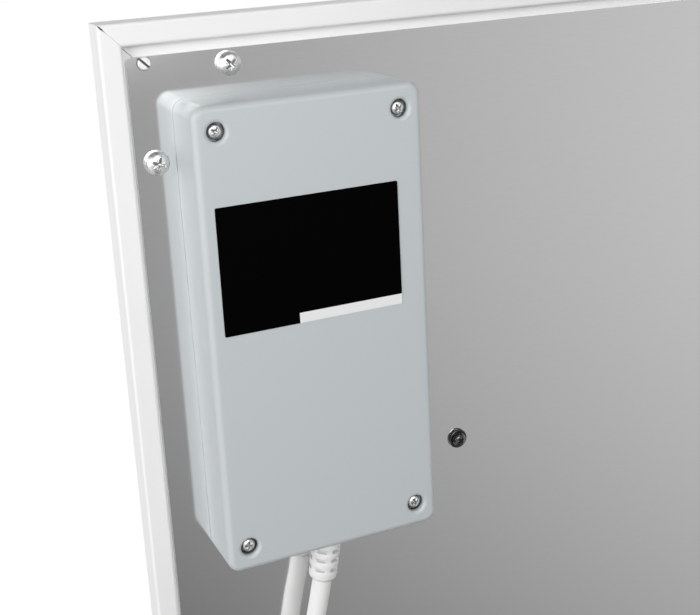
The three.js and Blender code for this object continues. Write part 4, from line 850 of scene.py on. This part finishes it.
def make_tie():
    """A strap round the hank: a rounded rectangle across Z, and a band 8 mm wide with soft edges."""
    low, high = (np.array(corner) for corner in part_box("hank_tie"))
    centre, size = (low + high) / 2, high - low
    soft = 0.45 * MM
    wall, half = 1.2 * MM - soft, size[2] / 2 - soft
    band = [arc((x, z), soft, start, start + 90, 4) for x, z, start in
            ((soft, -half, 180), (wall, -half, 270), (wall, half, 0), (soft, half, 90))]
    rings = [
        rounded_ring(centre[:2], size[:2] - 2 * inset, CORD_DIAMETER / 2 + 1.2 * MM - inset, z, 10)
        for inset, z in np.concatenate(band)
    ]
    skin = np.stack(rings)[..., [0, 2, 1]] + (0, 0, centre[2])
    return piece("soft_tie", [grid(skin, True, True)], TIE_FABRIC, ["hank_tie"], 60)


make_tie()

PLUG_LOW, PLUG_HIGH = (np.array(corner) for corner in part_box("plug_body"))
PLUG_TOP = np.array([*(PLUG_LOW + PLUG_HIGH)[:2] / 2, PLUG_HIGH[2]])
PLUG_FLAT = 16.2 * MM
PLUG_GROOVE = 16.4 * MM


def make_plug():
    """Radius over (drop, angle): a sleeve with shallow rings, a waisted grip and a round face. Its
    sides are cut flat, and a groove runs in front and behind: r is at most flat / cos(angle), and
    groove / sin(angle) within 3 mm of the middle."""
    knots = np.array([(0, 4.2), (3, 4.6), (12, 5.6), (23, 6.6), (26, 10.6), (28, 11.6), (34, 13.0)])
    ends = np.array([(36.2, 17.6), (37.4, 18.5), (38.5, 18.6), (51.0, 18.6), (51.7, 18.3), (52, 17.8)])
    course = np.concatenate([knots, ends])
    stretches = ((0, 23, 93), (23.4, 37.8, 37), (38.5, 50.8, 20), (51, 52, 6))
    drop = np.concatenate([np.linspace(*stretch) for stretch in stretches])
    radius = np.interp(drop, course[:, 0], course[:, 1])
    rings = np.clip(np.sin(2 * PI * drop / 3.4) * 2 - 0.6, 0, 1) * (drop > 2) * (drop < 21)
    radius = (radius - 0.7 * rings)[:, None] * MM
    angle = (np.arange(144) + 0.5) / 144 * 2 * PI
    wide, deep = np.abs(np.cos(angle)), np.abs(np.sin(angle))
    face = np.clip((drop - 36) / 1.2, 0, 1)[:, None]
    flat = np.minimum(radius, PLUG_FLAT / np.maximum(wide, 0.5))
    groove = np.where((radius * wide < 3 * MM) & (drop[:, None] > 40), PLUG_GROOVE / deep, 1)
    radius = np.minimum(radius + (flat - radius) * face, groove)
    round_it = np.stack([np.cos(angle), np.sin(angle), np.zeros(144)], -1)
    skin = PLUG_TOP + radius[..., None] * round_it - drop[:, None, None] * np.array([0, 0, MM])
    patches = [grid(skin, round_columns=True), lid(skin[0]), lid(skin[-1])]
    return piece("moulded_plug", patches, CORD_JACKET, ["plug_body"], 40)


make_plug()


def make_pins():
    """Straight round pins: the radius is even, then falls as cos t while the last 2 mm run as
    sin t, a quarter ellipse."""
    for side in ("left", "right"):
        low, high = (np.array(corner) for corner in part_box(f"plug_pin_{side}"))
        radius, length = (high[0] - low[0]) / 2, high[2] - low[2]
        tip = np.radians(np.linspace(0, 90, 9))
        narrowing = radius * np.cos(tip) * 0.98 + 0.02 * radius
        rolled = np.stack([narrowing, length - 2 * MM * (1 - np.sin(tip))], -1)
        profile = np.concatenate([[(radius, 0)], rolled])
        skin = hung(profile, 40, (*(low + high)[:2] / 2, high[2]))
        patches = [grid(skin, round_columns=True), lid(skin[0]), lid(skin[-1])]
        piece(f"round_pin_{side}", patches, PIN_METAL, [f"plug_pin_{side}"], 40)


make_pins()

# ---- light and ground

LIT_PLACE = (-0.30, 0.0, 0.20)
LAMPS = {  # place, size, power
    "left": ((-0.9, -0.355, 0.369), 0.4, 2.85),
    "front": ((-0.35, -0.9, 0.45), 0.5, 3.6),
    "top": ((-0.127, -0.416, 0.56), 0.3, 0.33),
}
SOFT_LIGHT = 0.04
SOFT_FROM_LEFT = 0.38
SOFT_FROM_RIGHT = 0.30
SOFT_FROM_BEHIND = 0.8
FLOOR_REACH = 8.0
FLOOR_COLOR = (0.8, 0.8, 0.8, 1)
FLOOR_SQUEEZE = (0.67, 1, 0)
FLOOR_GLOW = {"From Min": 0.1, "From Max": 0.72, "To Min": 0.42, "To Max": 0.8}


def light_world():
    """White to the camera. Matt surfaces get a faint even light plus parts that grow as the
    direction leans to the left or right, and one from behind the panel. Metal shows, on the
    camera's side, a grey room that is brighter to the right, darker below and above, and white on
    the left, and on the far side the white background."""
    world = bpy.data.worlds.new("room")
    world.use_nodes = True
    bpy.context.scene.world = world
    nodes, links = world.node_tree.nodes, world.node_tree.links
    nodes.clear()

    def math(operation, *values):
        node = nodes.new("ShaderNodeMath")
        node.operation = operation
        for socket, value in zip(node.inputs, values, strict=False):
            if isinstance(value, (int, float)):
                socket.default_value = value
            else:
                links.new(value, socket)
        return node.outputs["Value"]

    def share(value, slope, start):
        """0 at the start, growing by the slope up to 1."""
        line = math("MULTIPLY_ADD", value, slope, -slope * start)
        return math("MINIMUM", math("MAXIMUM", line, 0.0), 1.0)

    def mix(low, high, amount):
        return math("ADD", low, math("MULTIPLY", amount, math("SUBTRACT", high, low)))

    where = nodes.new("ShaderNodeTexCoord")
    split = nodes.new("ShaderNodeSeparateXYZ")
    links.new(where.outputs["Generated"], split.inputs["Vector"])
    x, y, z = split.outputs
    low = math("MINIMUM", z, -0.17)
    down = math("MULTIPLY", low, math("MULTIPLY_ADD", low, -0.909, -0.318))
    room = math("ADD", math("MULTIPLY_ADD", math("MAXIMUM", x, 0.1), 0.578, 0.161), down)
    room = mix(math("MAXIMUM", room, 0.1), 0.8, share(x, -3.0, 0.05))
    room = mix(room, 0.15, share(z, 4.0, 0.35))
    shown = mix(room, 1.0, share(y, 4.0, 0.0))
    leftwards = math("MAXIMUM", math("MULTIPLY", x, -1.0), 0.0)
    soft = math("MULTIPLY_ADD", leftwards, SOFT_FROM_LEFT, SOFT_LIGHT)
    soft = math("MULTIPLY_ADD", math("MAXIMUM", x, 0.0), SOFT_FROM_RIGHT, soft)
    soft = math("MULTIPLY_ADD", share(y, 1.7, 0.4), SOFT_FROM_BEHIND, soft)
    ray = nodes.new("ShaderNodeLightPath")
    sharp = math("MAXIMUM", ray.outputs["Is Glossy Ray"], ray.outputs["Is Transmission Ray"])
    level = mix(mix(soft, shown, sharp), 1.0, ray.outputs["Is Camera Ray"])
    background = nodes.new("ShaderNodeBackground")
    background.inputs["Color"].default_value = (1, 1, 1, 1)
    out = nodes.new("ShaderNodeOutputWorld")
    links.new(level, background.inputs["Strength"])
    links.new(background.outputs["Background"], out.inputs["Surface"])


def add_lamp(name, place, size, power):
    """A square lamp that faces the lit place."""
    data = bpy.data.lights.new(name, "AREA")
    data.size = size
    data.energy = power
    lamp = bpy.data.objects.new(name, data)
    lamp.rotation_euler = (Vector(place) - Vector(LIT_PLACE)).to_track_quat("Z", "Y").to_euler()
    lamp.location = place
    bpy.context.scene.collection.objects.link(lamp)


def lay_floor():
    """A pale floor under the panel. Only the camera sees it, so it keeps the object's shadow but
    doesn't show in the back plate. Its glow grows with the distance from the panel's foot, with x
    counted for two thirds: weak where the lamps reach, and white where they have faded."""
    material = bpy.data.materials.new("floor")
    material.use_nodes = True
    nodes, links = material.node_tree.nodes, material.node_tree.links
    nodes.clear()
    paint = nodes.new("ShaderNodeBsdfDiffuse")
    paint.inputs["Color"].default_value = FLOOR_COLOR
    glow = nodes.new("ShaderNodeEmission")
    where = nodes.new("ShaderNodeTexCoord")
    squeezed = nodes.new("ShaderNodeMapping")
    squeezed.inputs["Scale"].default_value = FLOOR_SQUEEZE
    away = nodes.new("ShaderNodeVectorMath")
    away.operation = "LENGTH"
    grow = nodes.new("ShaderNodeMapRange")
    grow.interpolation_type = "SMOOTHSTEP"
    for key, value in FLOOR_GLOW.items():
        grow.inputs[key].default_value = value
    links.new(where.outputs["Object"], squeezed.inputs["Vector"])
    links.new(squeezed.outputs["Vector"], away.inputs[0])
    links.new(away.outputs["Value"], grow.inputs["Value"])
    links.new(grow.outputs["Result"], glow.inputs["Strength"])
    total = nodes.new("ShaderNodeAddShader")
    clear = nodes.new("ShaderNodeBsdfTransparent")
    seen = nodes.new("ShaderNodeLightPath")
    mix = nodes.new("ShaderNodeMixShader")
    out = nodes.new("ShaderNodeOutputMaterial")
    links.new(paint.outputs["BSDF"], total.inputs[0])
    links.new(glow.outputs["Emission"], total.inputs[1])
    links.new(seen.outputs["Is Camera Ray"], mix.inputs["Fac"])
    links.new(clear.outputs["BSDF"], mix.inputs[1])
    links.new(total.outputs["Shader"], mix.inputs[2])
    links.new(mix.outputs["Shader"], out.inputs["Surface"])
    mesh = bpy.data.meshes.new("floor")
    level = CAD_BOX[0][2] - 0.5 * MM
    ways = ((-1, -1), (1, -1), (1, 1), (-1, 1))
    corners = [(x * FLOOR_REACH, y * FLOOR_REACH, level) for x, y in ways]
    mesh.from_pydata(corners, [], [(0, 1, 2, 3)])
    mesh.materials.append(material)
    floor = bpy.data.objects.new("floor", mesh)
    bpy.context.scene.collection.objects.link(floor)


light_world()
for lamp_name, (place, size, power) in LAMPS.items():
    add_lamp(lamp_name, place, size, power)
lay_floor()
bpy.context.scene.view_settings.view_transform = "Standard"

for node, cad_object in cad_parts.items():
    for starts, material in INNER_FINISHES.items():
        if node.startswith(starts):
            cad_object.material_slots[0].material = material
